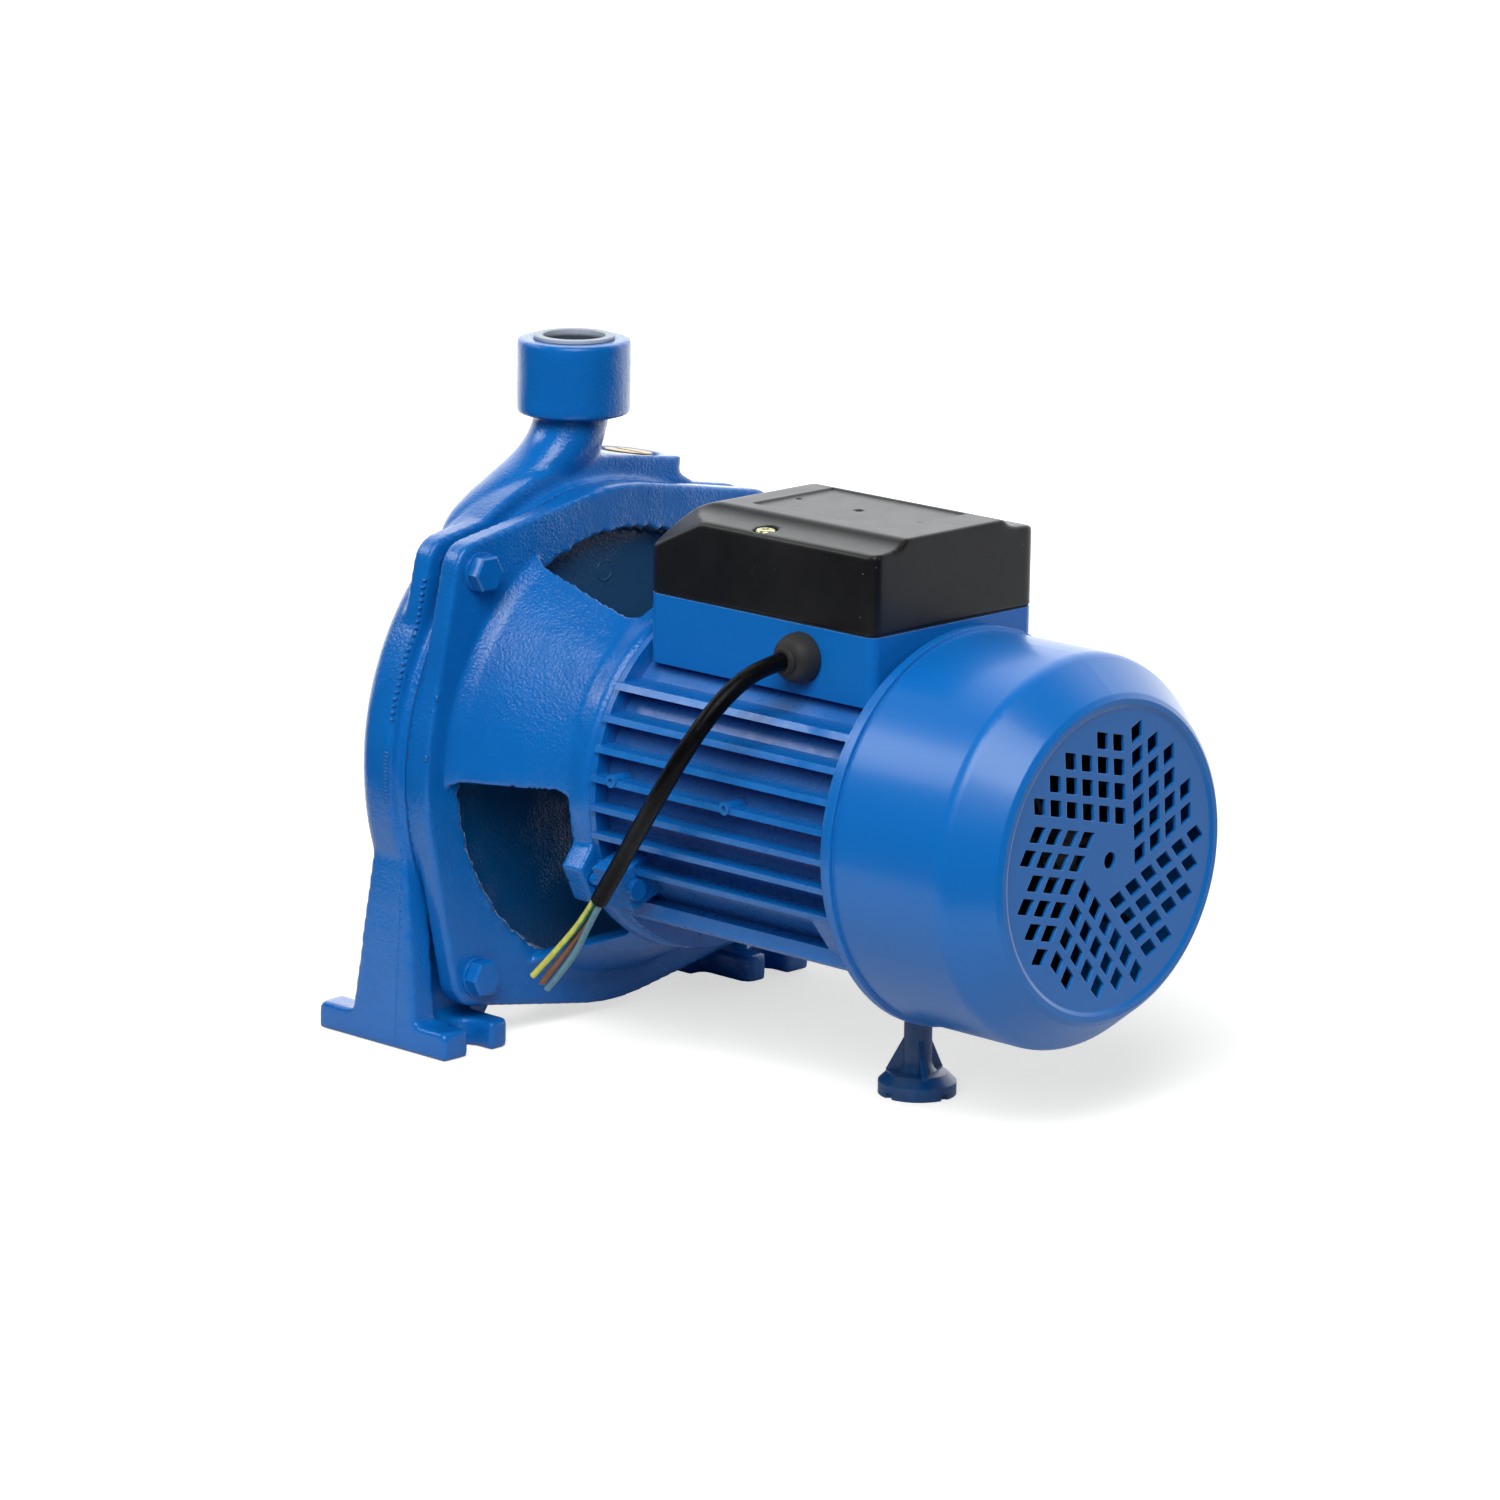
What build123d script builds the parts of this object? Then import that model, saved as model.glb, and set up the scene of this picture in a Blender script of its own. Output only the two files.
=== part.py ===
from build123d import *
import math
import os

os.makedirs("parts", exist_ok=True)

# Single-stage centrifugal water pump with a close-coupled, fan-cooled motor. Millimetres.
# +X runs along the shaft from the pump to the fan, +Z is up, and the cable is on the -Y side.
# The origin is on the base plane, midway between the four foot slots, under the outlet's axis.

# ---- driving dimensions ----
shaft_z = 108.0
fit_gap = 0.1

# bolted flanges of the casing and the bracket
flange_radius = 103.8
bolt_half_y = 76.5
bolt_half_z = 80.0
ear_radius = 12.0
casing_flange_x = (1.5, 10.5)
casing_land_x = 13.6
gasket_thickness = 0.6
bracket_land_x = casing_land_x + gasket_thickness
bracket_flange_x = (17.0, 26.0)
m8_radius = 4.0
m8_hole_radius = 4.3
m5_radius = 2.5
m5_hole_radius = 2.8

# pump casing
volute_z = 111.8
volute_radius = 108.5
collar_radius = 22.4
collar_z = (237.1, 266.6)
thread_crest_radius = 15.15
suction_x = -50.0
suction_radius = 24.5
g1_major_radius = 16.62
suction_thread_length = 18.0
foot_outer_y = 102.7
foot_inner_y = 66.5
foot_half_length = 35.5
foot_height = 11.0
slot_centre = (27.3, 83.5)
slot_radius = 5.75
boss_centre = (-5.0, 36.0, 216.6)
boss_radius = 21.0
boss_tilt = -8.2

# bracket between pump and motor
cone_root_radius = 90.0
cone_tip_radius = 71.5
cone_wall = 6.0
ring_x = (70.0, 80.6)
window_radius = 86.0
arm_half_angle = 30.0
lug_angle = 116.0
lug_radius = 80.0
hub_radius = 26.0

# motor
frame_x = (80.6, 212.0)
frame_radius = 62.7
frame_bore = 57.2
frame_flange_x = 83.3
frame_flange_radius = 70.0
fin_tip_radius = 72.0
fin_thickness = 2.4
fin_heights = (82.0, 93.5, 104.7, 116.0, 127.2, 138.5, 150.0)
rail_half_y = 55.0
rail_z = (59.4, 67.0)

# fan cover
cover_x = (207.6, 281.8)
cover_radius = 75.0
cover_lip_radius = 76.4
cover_sheet = 1.4
grille_x = 281.0
grille_radius = 57.0

# terminal box
box_x = (86.1, 201.8)
box_half_y = 44.8
box_z = (158.3, 185.1)
lid_ledge_z = 214.2
lid_plateau_z = 220.5
screw_seat_z = 214.4
plateau_half_y = 27.2
cover_screw_spots = ((140.4, 38.3), (140.4, -38.3))

# cable: where it leaves the box, and its bend points
cable_radius = 3.4
wire_radius = 1.3
gland_tip_y = 56.5
cable_route = (
    (166.5, -56.5, 172.8),
    (166.0, -68.5, 171.5),
    (165.0, -80.5, 166.0),
    (162.5, -91.0, 156.5),
    (158.0, -98.5, 144.0),
    (148.5, -101.5, 127.0),
    (133.0, -95.5, 110.5),
    (114.5, -86.5, 92.5),
    (98.5, -82.5, 73.0),
)
earth_route = ((97.4, -83.5, 73.7), (89.9, -81.6, 64.5), (77.2, -82.3, 50.3), (64.8, -84.0, 37.1))
live_route = ((98.5, -80.8, 73.3), (91.0, -78.9, 64.1), (79.5, -79.7, 49.5), (67.7, -82.0, 34.5))
neutral_route = ((99.7, -83.1, 71.9), (92.2, -81.2, 62.7), (82.0, -79.4, 46.4), (68.4, -80.0, 31.9))

SHAFT = Axis((0, 0, shaft_z), (1, 0, 0))
VOLUTE = Axis((0, 0, volute_z), (1, 0, 0))


def across(x):
    """Plane square to the shaft at x, with its origin on the shaft: local x is +Y, local y is +Z."""
    return Plane(origin=(x, 0, shaft_z), x_dir=(0, 1, 0), z_dir=(1, 0, 0))


def half_section():
    """Plane that holds the shaft: local x is +X and local y is height above the shaft."""
    return Plane(origin=(0, 0, shaft_z), x_dir=(1, 0, 0), z_dir=(0, -1, 0))


def flange_outline(radius, corner):
    """A disc and its four square-set ears, inside their common hull."""
    Circle(radius)
    with GridLocations(2 * bolt_half_y, 2 * bolt_half_z, 2, 2):
        Circle(corner)
    make_hull()


def polar(radius, angle):
    """Point in an across() plane, with the angle measured from +Z towards -Y."""
    turn = math.radians(angle)
    return (-radius * math.sin(turn), radius * math.cos(turn))


def tube(x_start, x_end, outer, inner):
    """Ring of material round the shaft, added to the active part."""
    with BuildSketch(across(x_start)) as ring:
        Circle(outer)
        if inner > 0:
            Circle(inner, mode=Mode.SUBTRACT)
    extrude(ring.sketch, amount=x_end - x_start)


# ---- pump casing: volute, flange, feet, outlet neck and suction boss in one casting ----
leg_foot_x = (-16.7, 18.7)
leg_top_x = (-4.6, 12.5)
leg_top_z = 79.0
leg_wall = 12.0
web_x = (-9.0, 10.5)
cavity_radius = 96.0
eye_radius = 21.4

with BuildPart() as pump_casing:
    with BuildSketch(Plane(origin=(0, 0, volute_z), x_dir=(1, 0, 0), z_dir=(0, -1, 0))):
        with BuildLine():
            Polyline((casing_flange_x[1], 0), (casing_flange_x[1], volute_radius), (-1, volute_radius))
            ThreePointArc((-1, volute_radius), (-7, 105.9), (-10, 100.5))
            Line((-10, 100.5), (-21, 84))
            ThreePointArc((-21, 84), (-24.5, 74), (-25, 62))
            Line((-25, 62), (-27, 30))
            Line((-27, 30), (-27, 0))
            Line((-27, 0), (casing_flange_x[1], 0))
        make_face()
    revolve(axis=VOLUTE)
    with BuildSketch(across(casing_flange_x[0])):
        flange_outline(flange_radius, ear_radius)
    extrude(amount=casing_flange_x[1] - casing_flange_x[0])

    # suction boss, with a collar against the casing's face
    tube(-30, -20, 33.0, 0)
    tube(suction_x, -28, suction_radius, 0)

    # legs: an outer wall that widens into the pad, and a web that ties it to the volute
    for side in (-1, 1):
        outer_face = Plane(origin=(0, side * foot_outer_y, 0), x_dir=(1, 0, 0), z_dir=(0, -1, 0))
        with BuildSketch(outer_face) as leg_side:
            with BuildLine():
                Polyline(
                    (-foot_half_length, 0),
                    (foot_half_length, 0),
                    (foot_half_length, foot_height),
                    (leg_foot_x[1], foot_height),
                    (leg_top_x[1], leg_top_z),
                    (leg_top_x[1] - 1.5, 96),
                    (leg_top_x[0] + 2.5, 96),
                    (leg_top_x[0], leg_top_z),
                    (leg_foot_x[0], foot_height),
                    (-foot_half_length, foot_height),
                    close=True,
                )
            make_face()
            pad_top = leg_side.vertices().filter_by(lambda v: abs(v.Y - foot_height) < 0.1)
            fillet(pad_top.filter_by(lambda v: abs(v.X) > foot_half_length - 1), radius=2.5)
            fillet(pad_top.filter_by(lambda v: abs(v.X) < foot_half_length - 1), radius=4)
        extrude(amount=side * leg_wall)
        with BuildSketch(Plane.XY):
            with Locations((0, side * (foot_outer_y + foot_inner_y) / 2)):
                RectangleRounded(2 * foot_half_length, foot_outer_y - foot_inner_y, 5.0)
        extrude(amount=foot_height)
        with BuildSketch(Plane(origin=(web_x[0], 0, 0), x_dir=(0, 1, 0), z_dir=(1, 0, 0))):
            Polygon(
                (side * 60, 0),
                (side * 95, 0),
                (side * 95, 92),
                (side * 60, 92),
                (side * 48, 16),
                align=None,
            )
        extrude(amount=web_x[1] - web_x[0])
        with BuildSketch(Plane.XY.offset(-1)):
            for end in (-1, 1):
                with Locations((end * slot_centre[0], side * slot_centre[1])):
                    Circle(slot_radius)
                with Locations((end * (slot_centre[0] + 6), side * slot_centre[1])):
                    Rectangle(12, 2 * slot_radius)
        extrude(amount=foot_height + 2, mode=Mode.SUBTRACT)

    # outlet neck: sweeps out of the volute's top towards the cable side
    with BuildSketch(Plane.XY.offset(195)):
        with Locations((-6, -24)):
            Ellipse(14.5, 40)
    with BuildSketch(Plane.XY.offset(212)):
        with Locations((-5, -15)):
            Ellipse(14.5, 29)
    with BuildSketch(Plane.XY.offset(224)):
        with Locations((-1.5, -6)):
            Ellipse(15, 18)
    with BuildSketch(Plane.XY.offset(collar_z[0] + 1)):
        with Locations((0, -1)):
            Circle(15)
    loft()
    with BuildSketch(Plane.XY.offset(collar_z[0])):
        Circle(collar_radius)
    extrude(amount=collar_z[1] - collar_z[0])
    high_circles = pump_casing.edges().filter_by(GeomType.CIRCLE).filter_by(lambda e: e.center().Z > 230)
    fillet(high_circles.filter_by(lambda e: abs(e.radius - collar_radius) < 0.01), radius=1.2)

    # round boss for the priming plug, cut flat beside the flange, with a web to the neck
    boss_lean = math.sin(math.radians(-boss_tilt))
    boss_plane = Plane(origin=boss_centre, x_dir=(1, 0, 0), z_dir=(0, boss_lean, 1))
    with BuildSketch(boss_plane):
        Circle(boss_radius)
        with Locations((1.5, -12)):
            Rectangle(24, 26)
    extrude(amount=-26)
    # everything stops at the flange's face, below the bare neck, and the round land stands on it
    with BuildSketch(Plane(origin=(casing_flange_x[1], 0, 0), x_dir=(0, 1, 0), z_dir=(1, 0, 0))):
        with Locations((38, 216)):
            Rectangle(60, 30)
        with Locations((0, 198)):
            Rectangle(150, 30)
    extrude(amount=30, mode=Mode.SUBTRACT)
    tube(casing_flange_x[1], casing_land_x, flange_radius, 0)
    with BuildSketch(across(casing_land_x)):
        Circle(flange_radius + 1)
    extrude(amount=10, mode=Mode.SUBTRACT)
    with BuildSketch(boss_plane):
        Circle(12.5)
    extrude(amount=-3.5, mode=Mode.SUBTRACT)
    with BuildSketch(boss_plane):
        Circle(6.6 + fit_gap)
    extrude(amount=-40, mode=Mode.SUBTRACT)

    # drain boss low on the front, on the side away from the cable
    with BuildSketch(Plane(origin=(-18, 30, 34), x_dir=(0, 1, 0), z_dir=(-1, 0, 0))):
        Circle(11)
    extrude(amount=14)

    # hollows: pump chamber, volute gallery, suction way and outlet way
    with BuildSketch(half_section()):
        with BuildLine():
            Polyline(
                (casing_land_x + 1, 0),
                (casing_land_x + 1, 92),
                (8, 92),
                (8, cavity_radius),
                (-4, cavity_radius),
                (-12, 86),
                (-15, 76),
                (-13, 60),
                (-13, eye_radius + 8),
                (-11, eye_radius + 8),
                (-11, eye_radius),
                (-20, eye_radius),
                (-20, 14.5),
                (suction_x + suction_thread_length, 14.5),
                (suction_x + suction_thread_length, g1_major_radius),
                (suction_x - 1, g1_major_radius),
                (suction_x - 1, 0),
                close=True,
            )
        make_face()
    revolve(axis=SHAFT, mode=Mode.SUBTRACT)
    with BuildSketch(Plane.XY.offset(196)):
        with Locations((-4, -14)):
            Ellipse(8, 15)
    with BuildSketch(Plane.XY.offset(222)):
        with Locations((-2, -5)):
            Circle(10.5)
    with BuildSketch(Plane.XY.offset(244)):
        Circle(13)
    loft(mode=Mode.SUBTRACT)
    with BuildSketch(Plane.XY.offset(243)):
        Circle(thread_crest_radius)
    extrude(amount=30, mode=Mode.SUBTRACT)

    # bolt holes in the ears and the drain hole
    with BuildSketch(across(casing_flange_x[0] - 1)):
        with GridLocations(2 * bolt_half_y, 2 * bolt_half_z, 2, 2):
            Circle(m8_hole_radius)
    extrude(amount=casing_flange_x[1] - casing_flange_x[0] + 2, mode=Mode.SUBTRACT)
    with BuildSketch(Plane(origin=(-33, 30, 34), x_dir=(0, 1, 0), z_dir=(1, 0, 0))):
        Circle(5.0 + fit_gap)
    extrude(amount=30, mode=Mode.SUBTRACT)
pump_casing.part.label = "pump_casing"
export_step(pump_casing.part, "parts/pump_casing.step")

# ---- flat gasket between the two lands ----
with BuildPart() as casing_gasket:
    tube(casing_land_x, bracket_land_x, 103.0, 92.5)
casing_gasket.part.label = "casing_gasket"
export_step(casing_gasket.part, "parts/casing_gasket.step")

# ---- motor bracket: flange, back plate, three arms round a cone, motor ring and hub ----
plate_x = (bracket_land_x, 19.0)
seat_bore = 13.2
bearing_bore = 20.0
front_bearing_x = (60.0, 72.0)
spigot_x = 86.0
tie_radius = 74.6
tie_nut_radius = 4.2
tie_nut_height = 5.0
seat_end_x = 27.0

with BuildPart() as motor_bracket:
    with BuildSketch(across(bracket_flange_x[0])):
        flange_outline(flange_radius, ear_radius)
        Circle(window_radius, mode=Mode.SUBTRACT)
    extrude(amount=bracket_flange_x[1] - bracket_flange_x[0])
    tube(bracket_land_x, bracket_flange_x[0], flange_radius, window_radius)
    tube(plate_x[0], plate_x[1], window_radius + 1, 0)
    # conical shell that ends in the motor ring, and the wall that closes the motor
    with BuildSketch(half_section()):
        with BuildLine():
            Polyline(
                (bracket_flange_x[1] - 1, window_radius + 1),
                (bracket_flange_x[1] - 1, cone_root_radius + 4),
                (bracket_flange_x[1], cone_root_radius + 4),
                (bracket_flange_x[1] + 4, cone_root_radius),
                (ring_x[0], cone_tip_radius),
                (ring_x[1] - 2.5, cone_tip_radius),
                (ring_x[1], cone_tip_radius - 2),
                (ring_x[1], 20.5),
                (ring_x[1] - 5, 20.5),
                (ring_x[1] - 5, cone_tip_radius - cone_wall),
                (ring_x[0], cone_tip_radius - cone_wall),
                (bracket_flange_x[1] + 3, cone_root_radius - cone_wall),
                close=True,
            )
        make_face()
    revolve(axis=SHAFT)
    tube(ring_x[1], spigot_x, frame_bore - fit_gap, 50)
    tube(plate_x[1] - 1, ring_x[1], hub_radius, 0)
    # a window between each pair of arms: one at the top and one low on each side
    for centre in (0, 120, 240):
        turn = math.radians(centre)
        outward = Plane(
            origin=(0, 0, shaft_z), x_dir=(1, 0, 0), z_dir=(0, -math.sin(turn), math.cos(turn))
        )
        root_half = cone_root_radius * math.sin(math.radians(arm_half_angle))
        tip_half = cone_tip_radius * math.sin(math.radians(arm_half_angle))
        with BuildSketch(outward.offset(hub_radius + 4)) as window:
            Polygon(
                (bracket_flange_x[1], -root_half),
                (ring_x[0], -tip_half),
                (ring_x[0], tip_half),
                (bracket_flange_x[1], root_half),
                align=None,
            )
            fillet(window.vertices().group_by(Axis.X)[-1], radius=6)
        extrude(amount=100, mode=Mode.SUBTRACT)
    # nose-shaped lugs for the tie bolts
    for side in (-1, 1):
        with BuildSketch(across(ring_x[0])):
            Polygon(
                polar(66, side * (lug_angle - 9)),
                polar(cone_tip_radius, side * (lug_angle - 10)),
                polar(lug_radius, side * (lug_angle - 5.5)),
                polar(lug_radius, side * (lug_angle + 6.0)),
                polar(cone_tip_radius, side * (lug_angle + 10.5)),
                polar(66, side * (lug_angle + 9)),
                align=None,
            )
        extrude(amount=ring_x[1] - ring_x[0])
    # holes: ear bolts, tie bolts, seal seat, shaft way and bearing seat
    with BuildSketch(across(bracket_flange_x[0] - 1)):
        with GridLocations(2 * bolt_half_y, 2 * bolt_half_z, 2, 2):
            Circle(m8_hole_radius)
    extrude(amount=bracket_flange_x[1] - bracket_flange_x[0] + 2, mode=Mode.SUBTRACT)
    with BuildSketch(across(ring_x[0] - 1)):
        with Locations(polar(tie_radius, lug_angle), polar(tie_radius, -lug_angle)):
            Circle(m5_hole_radius)
    extrude(amount=ring_x[1] - ring_x[0] + 2, mode=Mode.SUBTRACT)
    with BuildSketch(across(ring_x[0] - 1)):
        with Locations(polar(tie_radius, lug_angle), polar(tie_radius, -lug_angle)):
            Circle(tie_nut_radius + fit_gap)
    extrude(amount=tie_nut_height + 1, mode=Mode.SUBTRACT)
    with BuildSketch(half_section()):
        with BuildLine():
            Polyline(
                (plate_x[0] - 1, 0),
                (plate_x[0] - 1, seat_bore),
                (seat_end_x, seat_bore),
                (seat_end_x, 9.5),
                (front_bearing_x[0] - 3, 9.5),
                (front_bearing_x[0] - 3, 15),
                (front_bearing_x[0], 15),
                (front_bearing_x[0], bearing_bore),
                (ring_x[1] + 1, bearing_bore),
                (ring_x[1] + 1, 0),
                close=True,
            )
        make_face()
    revolve(axis=SHAFT, mode=Mode.SUBTRACT)
motor_bracket.part.label = "motor_bracket"
export_step(motor_bracket.part, "parts/motor_bracket.step")

# ---- bolts that clamp the bracket to the casing ----
bolt_tip_x = 2.5
washer_x = (bracket_flange_x[1], bracket_flange_x[1] + 1.4)
m8_head_flats = 13.0
m8_head_height = 5.3

with BuildPart() as casing_bolts:
    with BuildSketch(across(bolt_tip_x)):
        with GridLocations(2 * bolt_half_y, 2 * bolt_half_z, 2, 2):
            Circle(m8_radius)
    extrude(amount=washer_x[1] - bolt_tip_x + 1)
    with BuildSketch(across(washer_x[1])):
        with GridLocations(2 * bolt_half_y, 2 * bolt_half_z, 2, 2):
            RegularPolygon(m8_head_flats / 2, 6, major_radius=False)
    extrude(amount=m8_head_height)
    chamfer(casing_bolts.edges().group_by(Axis.X)[-1], length=0.7)
casing_bolts.part.label = "casing_bolts"
export_step(casing_bolts.part, "parts/casing_bolts.step")

with BuildPart() as casing_bolt_washers:
    with BuildSketch(across(washer_x[0])):
        with GridLocations(2 * bolt_half_y, 2 * bolt_half_z, 2, 2):
            Circle(7.8)
            Circle(m8_hole_radius, mode=Mode.SUBTRACT)
    extrude(amount=washer_x[1] - washer_x[0])
casing_bolt_washers.part.label = "casing_bolt_washers"
export_step(casing_bolt_washers.part, "parts/casing_bolt_washers.step")

# ---- priming plug and its washer, in the tilted boss ----
plug_seat = boss_plane.offset(-3.5)

with BuildPart() as priming_plug_washer:
    with BuildSketch(plug_seat):
        Circle(11.0)
        Circle(6.7, mode=Mode.SUBTRACT)
    extrude(amount=1.4)
priming_plug_washer.part.label = "priming_plug_washer"
export_step(priming_plug_washer.part, "parts/priming_plug_washer.step")

with BuildPart() as priming_plug:
    with BuildSketch(plug_seat.offset(-12)):
        Circle(6.6)
    extrude(amount=14)
    with BuildSketch(plug_seat.offset(1.4)):
        Circle(9.5)
    extrude(amount=2.2)
    with BuildSketch(plug_seat.offset(3.6)):
        SlotOverall(16, 2.2)
    extrude(amount=-1.5, mode=Mode.SUBTRACT)
priming_plug.part.label = "priming_plug"
export_step(priming_plug.part, "parts/priming_plug.step")

# ---- drain plug and its washer, low on the front ----
drain_face = Plane(origin=(-32, 30, 34), x_dir=(0, 1, 0), z_dir=(-1, 0, 0))

with BuildPart() as drain_plug_washer:
    with BuildSketch(drain_face):
        Circle(9.0)
        Circle(5.2, mode=Mode.SUBTRACT)
    extrude(amount=1.4)
drain_plug_washer.part.label = "drain_plug_washer"
export_step(drain_plug_washer.part, "parts/drain_plug_washer.step")

with BuildPart() as drain_plug:
    with BuildSketch(drain_face.offset(-10)):
        Circle(5.0)
    extrude(amount=12)
    with BuildSketch(drain_face.offset(1.4)):
        RegularPolygon(7.0, 6, major_radius=False)
    extrude(amount=6)
    chamfer(drain_plug.edges().group_by(Axis.X)[0], length=0.7)
drain_plug.part.label = "drain_plug"
export_step(drain_plug.part, "parts/drain_plug.step")

# ---- plastic thread protector pushed into the outlet ----
protector_radius = 14.8
protector_bore = 12.2
protector_lip = 15.8
rib_angle = 132.0

with BuildPart() as outlet_thread_protector:
    with BuildSketch(Plane.XY.offset(collar_z[1] - 19)):
        Circle(protector_radius)
        Circle(protector_bore, mode=Mode.SUBTRACT)
    extrude(amount=20)
    with BuildSketch(Plane.XY.offset(collar_z[1] + 0.05)):
        Circle(protector_lip)
        Circle(protector_bore, mode=Mode.SUBTRACT)
    extrude(amount=1.3)
    fillet(outlet_thread_protector.edges().group_by(Axis.Z)[-1], radius=0.5)
    with BuildSketch(Plane.XY.offset(collar_z[1] - 19)):
        with PolarLocations(protector_bore - 0.4, 1, start_angle=rib_angle):
            Rectangle(1.6, 1.2)
    extrude(amount=18.5)
outlet_thread_protector.part.label = "outlet_thread_protector"
export_step(outlet_thread_protector.part, "parts/outlet_thread_protector.step")

# ---- shaft seal: fixed seat in a rubber cup, turning head and spring ----
seal_face_x = 20.0
shaft_seal_radius = 8.0

with BuildPart() as seal_seat_cup:
    with BuildSketch(half_section()):
        Polygon(
            (seal_face_x + 2, seat_bore - fit_gap),
            (seat_end_x - fit_gap, seat_bore - fit_gap),
            (seat_end_x - fit_gap, 9.6),
            (seat_end_x - 1.4, 9.6),
            (seat_end_x - 1.4, 11.5),
            (seal_face_x + 2, 11.5),
            align=None,
        )
    revolve(axis=SHAFT)
seal_seat_cup.part.label = "seal_seat_cup"
export_step(seal_seat_cup.part, "parts/seal_seat_cup.step")

with BuildPart() as seal_seat:
    tube(seal_face_x, seat_end_x - 1.45, 11.45, 8.8)
seal_seat.part.label = "seal_seat"
export_step(seal_seat.part, "parts/seal_seat.step")

with BuildPart() as seal_head:
    tube(13.5, seal_face_x - 0.05, 11.8, shaft_seal_radius + 0.05)
    tube(13.5, 16.0, 12.6, shaft_seal_radius + 0.05)
seal_head.part.label = "seal_head"
export_step(seal_head.part, "parts/seal_head.step")

spring_turns = 2
spring_wire = 0.9
with BuildPart() as seal_spring:
    with BuildLine() as spring_line:
        Helix(
            pitch=2.2,
            height=2.2 * spring_turns,
            radius=10.4,
            center=(8.2 + spring_wire / 2, 0, shaft_z),
            direction=(1, 0, 0),
        )
    with BuildSketch(Plane(origin=spring_line.line @ 0, z_dir=spring_line.line % 0)):
        Circle(spring_wire / 2)
    sweep()
seal_spring.part.label = "seal_spring"
export_step(seal_spring.part, "parts/seal_spring.step")

# ---- shaft with its keyway ----
nut_x = (-18.0, -10.0)
rear_bearing_x = (213.0, 225.0)
stack_x = (108.0, 178.0)
rotor_shaft_radius = 12.0
fan_x = (238.0, 256.0)

with BuildPart() as rotor_shaft:
    tube(nut_x[0] - 2, -8, 5.0, 0)
    tube(-8, 8, 6.0, 0)
    tube(8, front_bearing_x[0] - 2, shaft_seal_radius, 0)
    tube(front_bearing_x[0] - 2, front_bearing_x[1] + 2, 8.5, 0)
    tube(front_bearing_x[1] + 2, stack_x[0] - 8, 10.0, 0)
    tube(stack_x[0] - 8, stack_x[1] + 8, rotor_shaft_radius, 0)
    tube(stack_x[1] + 8, rear_bearing_x[0] - 1, 10.0, 0)
    tube(rear_bearing_x[0] - 1, rear_bearing_x[1] + 3, 8.5, 0)
    tube(rear_bearing_x[1] + 3, fan_x[1] + 4, 7.0, 0)
    with BuildSketch(Plane.XY.offset(shaft_z + 4)):
        SlotOverall(12.2, 4.1)
    extrude(amount=6, mode=Mode.SUBTRACT)
rotor_shaft.part.label = "rotor_shaft"
export_step(rotor_shaft.part, "parts/rotor_shaft.step")

with BuildPart() as impeller_key:
    with BuildSketch(Plane.XY.offset(shaft_z + 4)):
        SlotOverall(12, 4.0)
    extrude(amount=4)
impeller_key.part.label = "impeller_key"
export_step(impeller_key.part, "parts/impeller_key.step")

# ---- closed impeller with six swept-back vanes ----
impeller_radius = 74.0
vane_count = 6

with BuildPart() as impeller:
    tube(5, 8, impeller_radius, 6.05)
    tube(-8, 8, 11.5, 6.05)
    with BuildSketch(half_section()):
        Polygon(
            (-19, 18.0),
            (-19, eye_radius - 0.4),
            (-9.5, eye_radius - 0.4),
            (-7.5, 30),
            (-7.5, impeller_radius),
            (-5.5, impeller_radius),
            (-5.5, 30),
            (-7.0, 18.0),
            align=None,
        )
    revolve(axis=SHAFT)
    for vane in range(vane_count):
        start = vane * 360 / vane_count
        with BuildSketch(across(-6.5)):
            with BuildLine():
                vane_tip = polar(impeller_radius - 1, start + 62)
                ThreePointArc(polar(20, start), polar(50, start + 22), vane_tip)
            trace(line_width=3.0)
        extrude(amount=12.5)
    with BuildSketch(Plane.XY.offset(shaft_z)):
        Rectangle(20, 4.1)
    extrude(amount=8.1, mode=Mode.SUBTRACT)
impeller.part.label = "impeller"
export_step(impeller.part, "parts/impeller.step")

with BuildPart() as impeller_washer:
    tube(nut_x[1], -8, 9.5, 5.1)
impeller_washer.part.label = "impeller_washer"
export_step(impeller_washer.part, "parts/impeller_washer.step")

with BuildPart() as impeller_nut:
    with BuildSketch(across(nut_x[0])):
        RegularPolygon(8.5, 6, major_radius=False)
        Circle(5.0, mode=Mode.SUBTRACT)
    extrude(amount=nut_x[1] - nut_x[0])
    nut_rim = impeller_nut.faces().sort_by(Axis.X)[0].outer_wire().edges()
    chamfer(nut_rim, length=0.8)
impeller_nut.part.label = "impeller_nut"
export_step(impeller_nut.part, "parts/impeller_nut.step")

# ---- two ball bearings of the same size: rings, balls and cages ----
ring_in = (8.5, 11.8)
ring_out = (16.8, 20.0)
ball_orbit = 14.3
ball_radius = 3.37
groove_radius = 3.45
cage_radii = (13.3, 15.2)
ball_count = 8
race_gap = 0.04


def ball_groove(middle):
    """Raceway groove cut into both rings of a bearing."""
    with BuildSketch(half_section()) as groove:
        with Locations((middle, ball_orbit)):
            Circle(groove_radius)
    revolve(groove.sketch, axis=SHAFT, mode=Mode.SUBTRACT)


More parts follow.
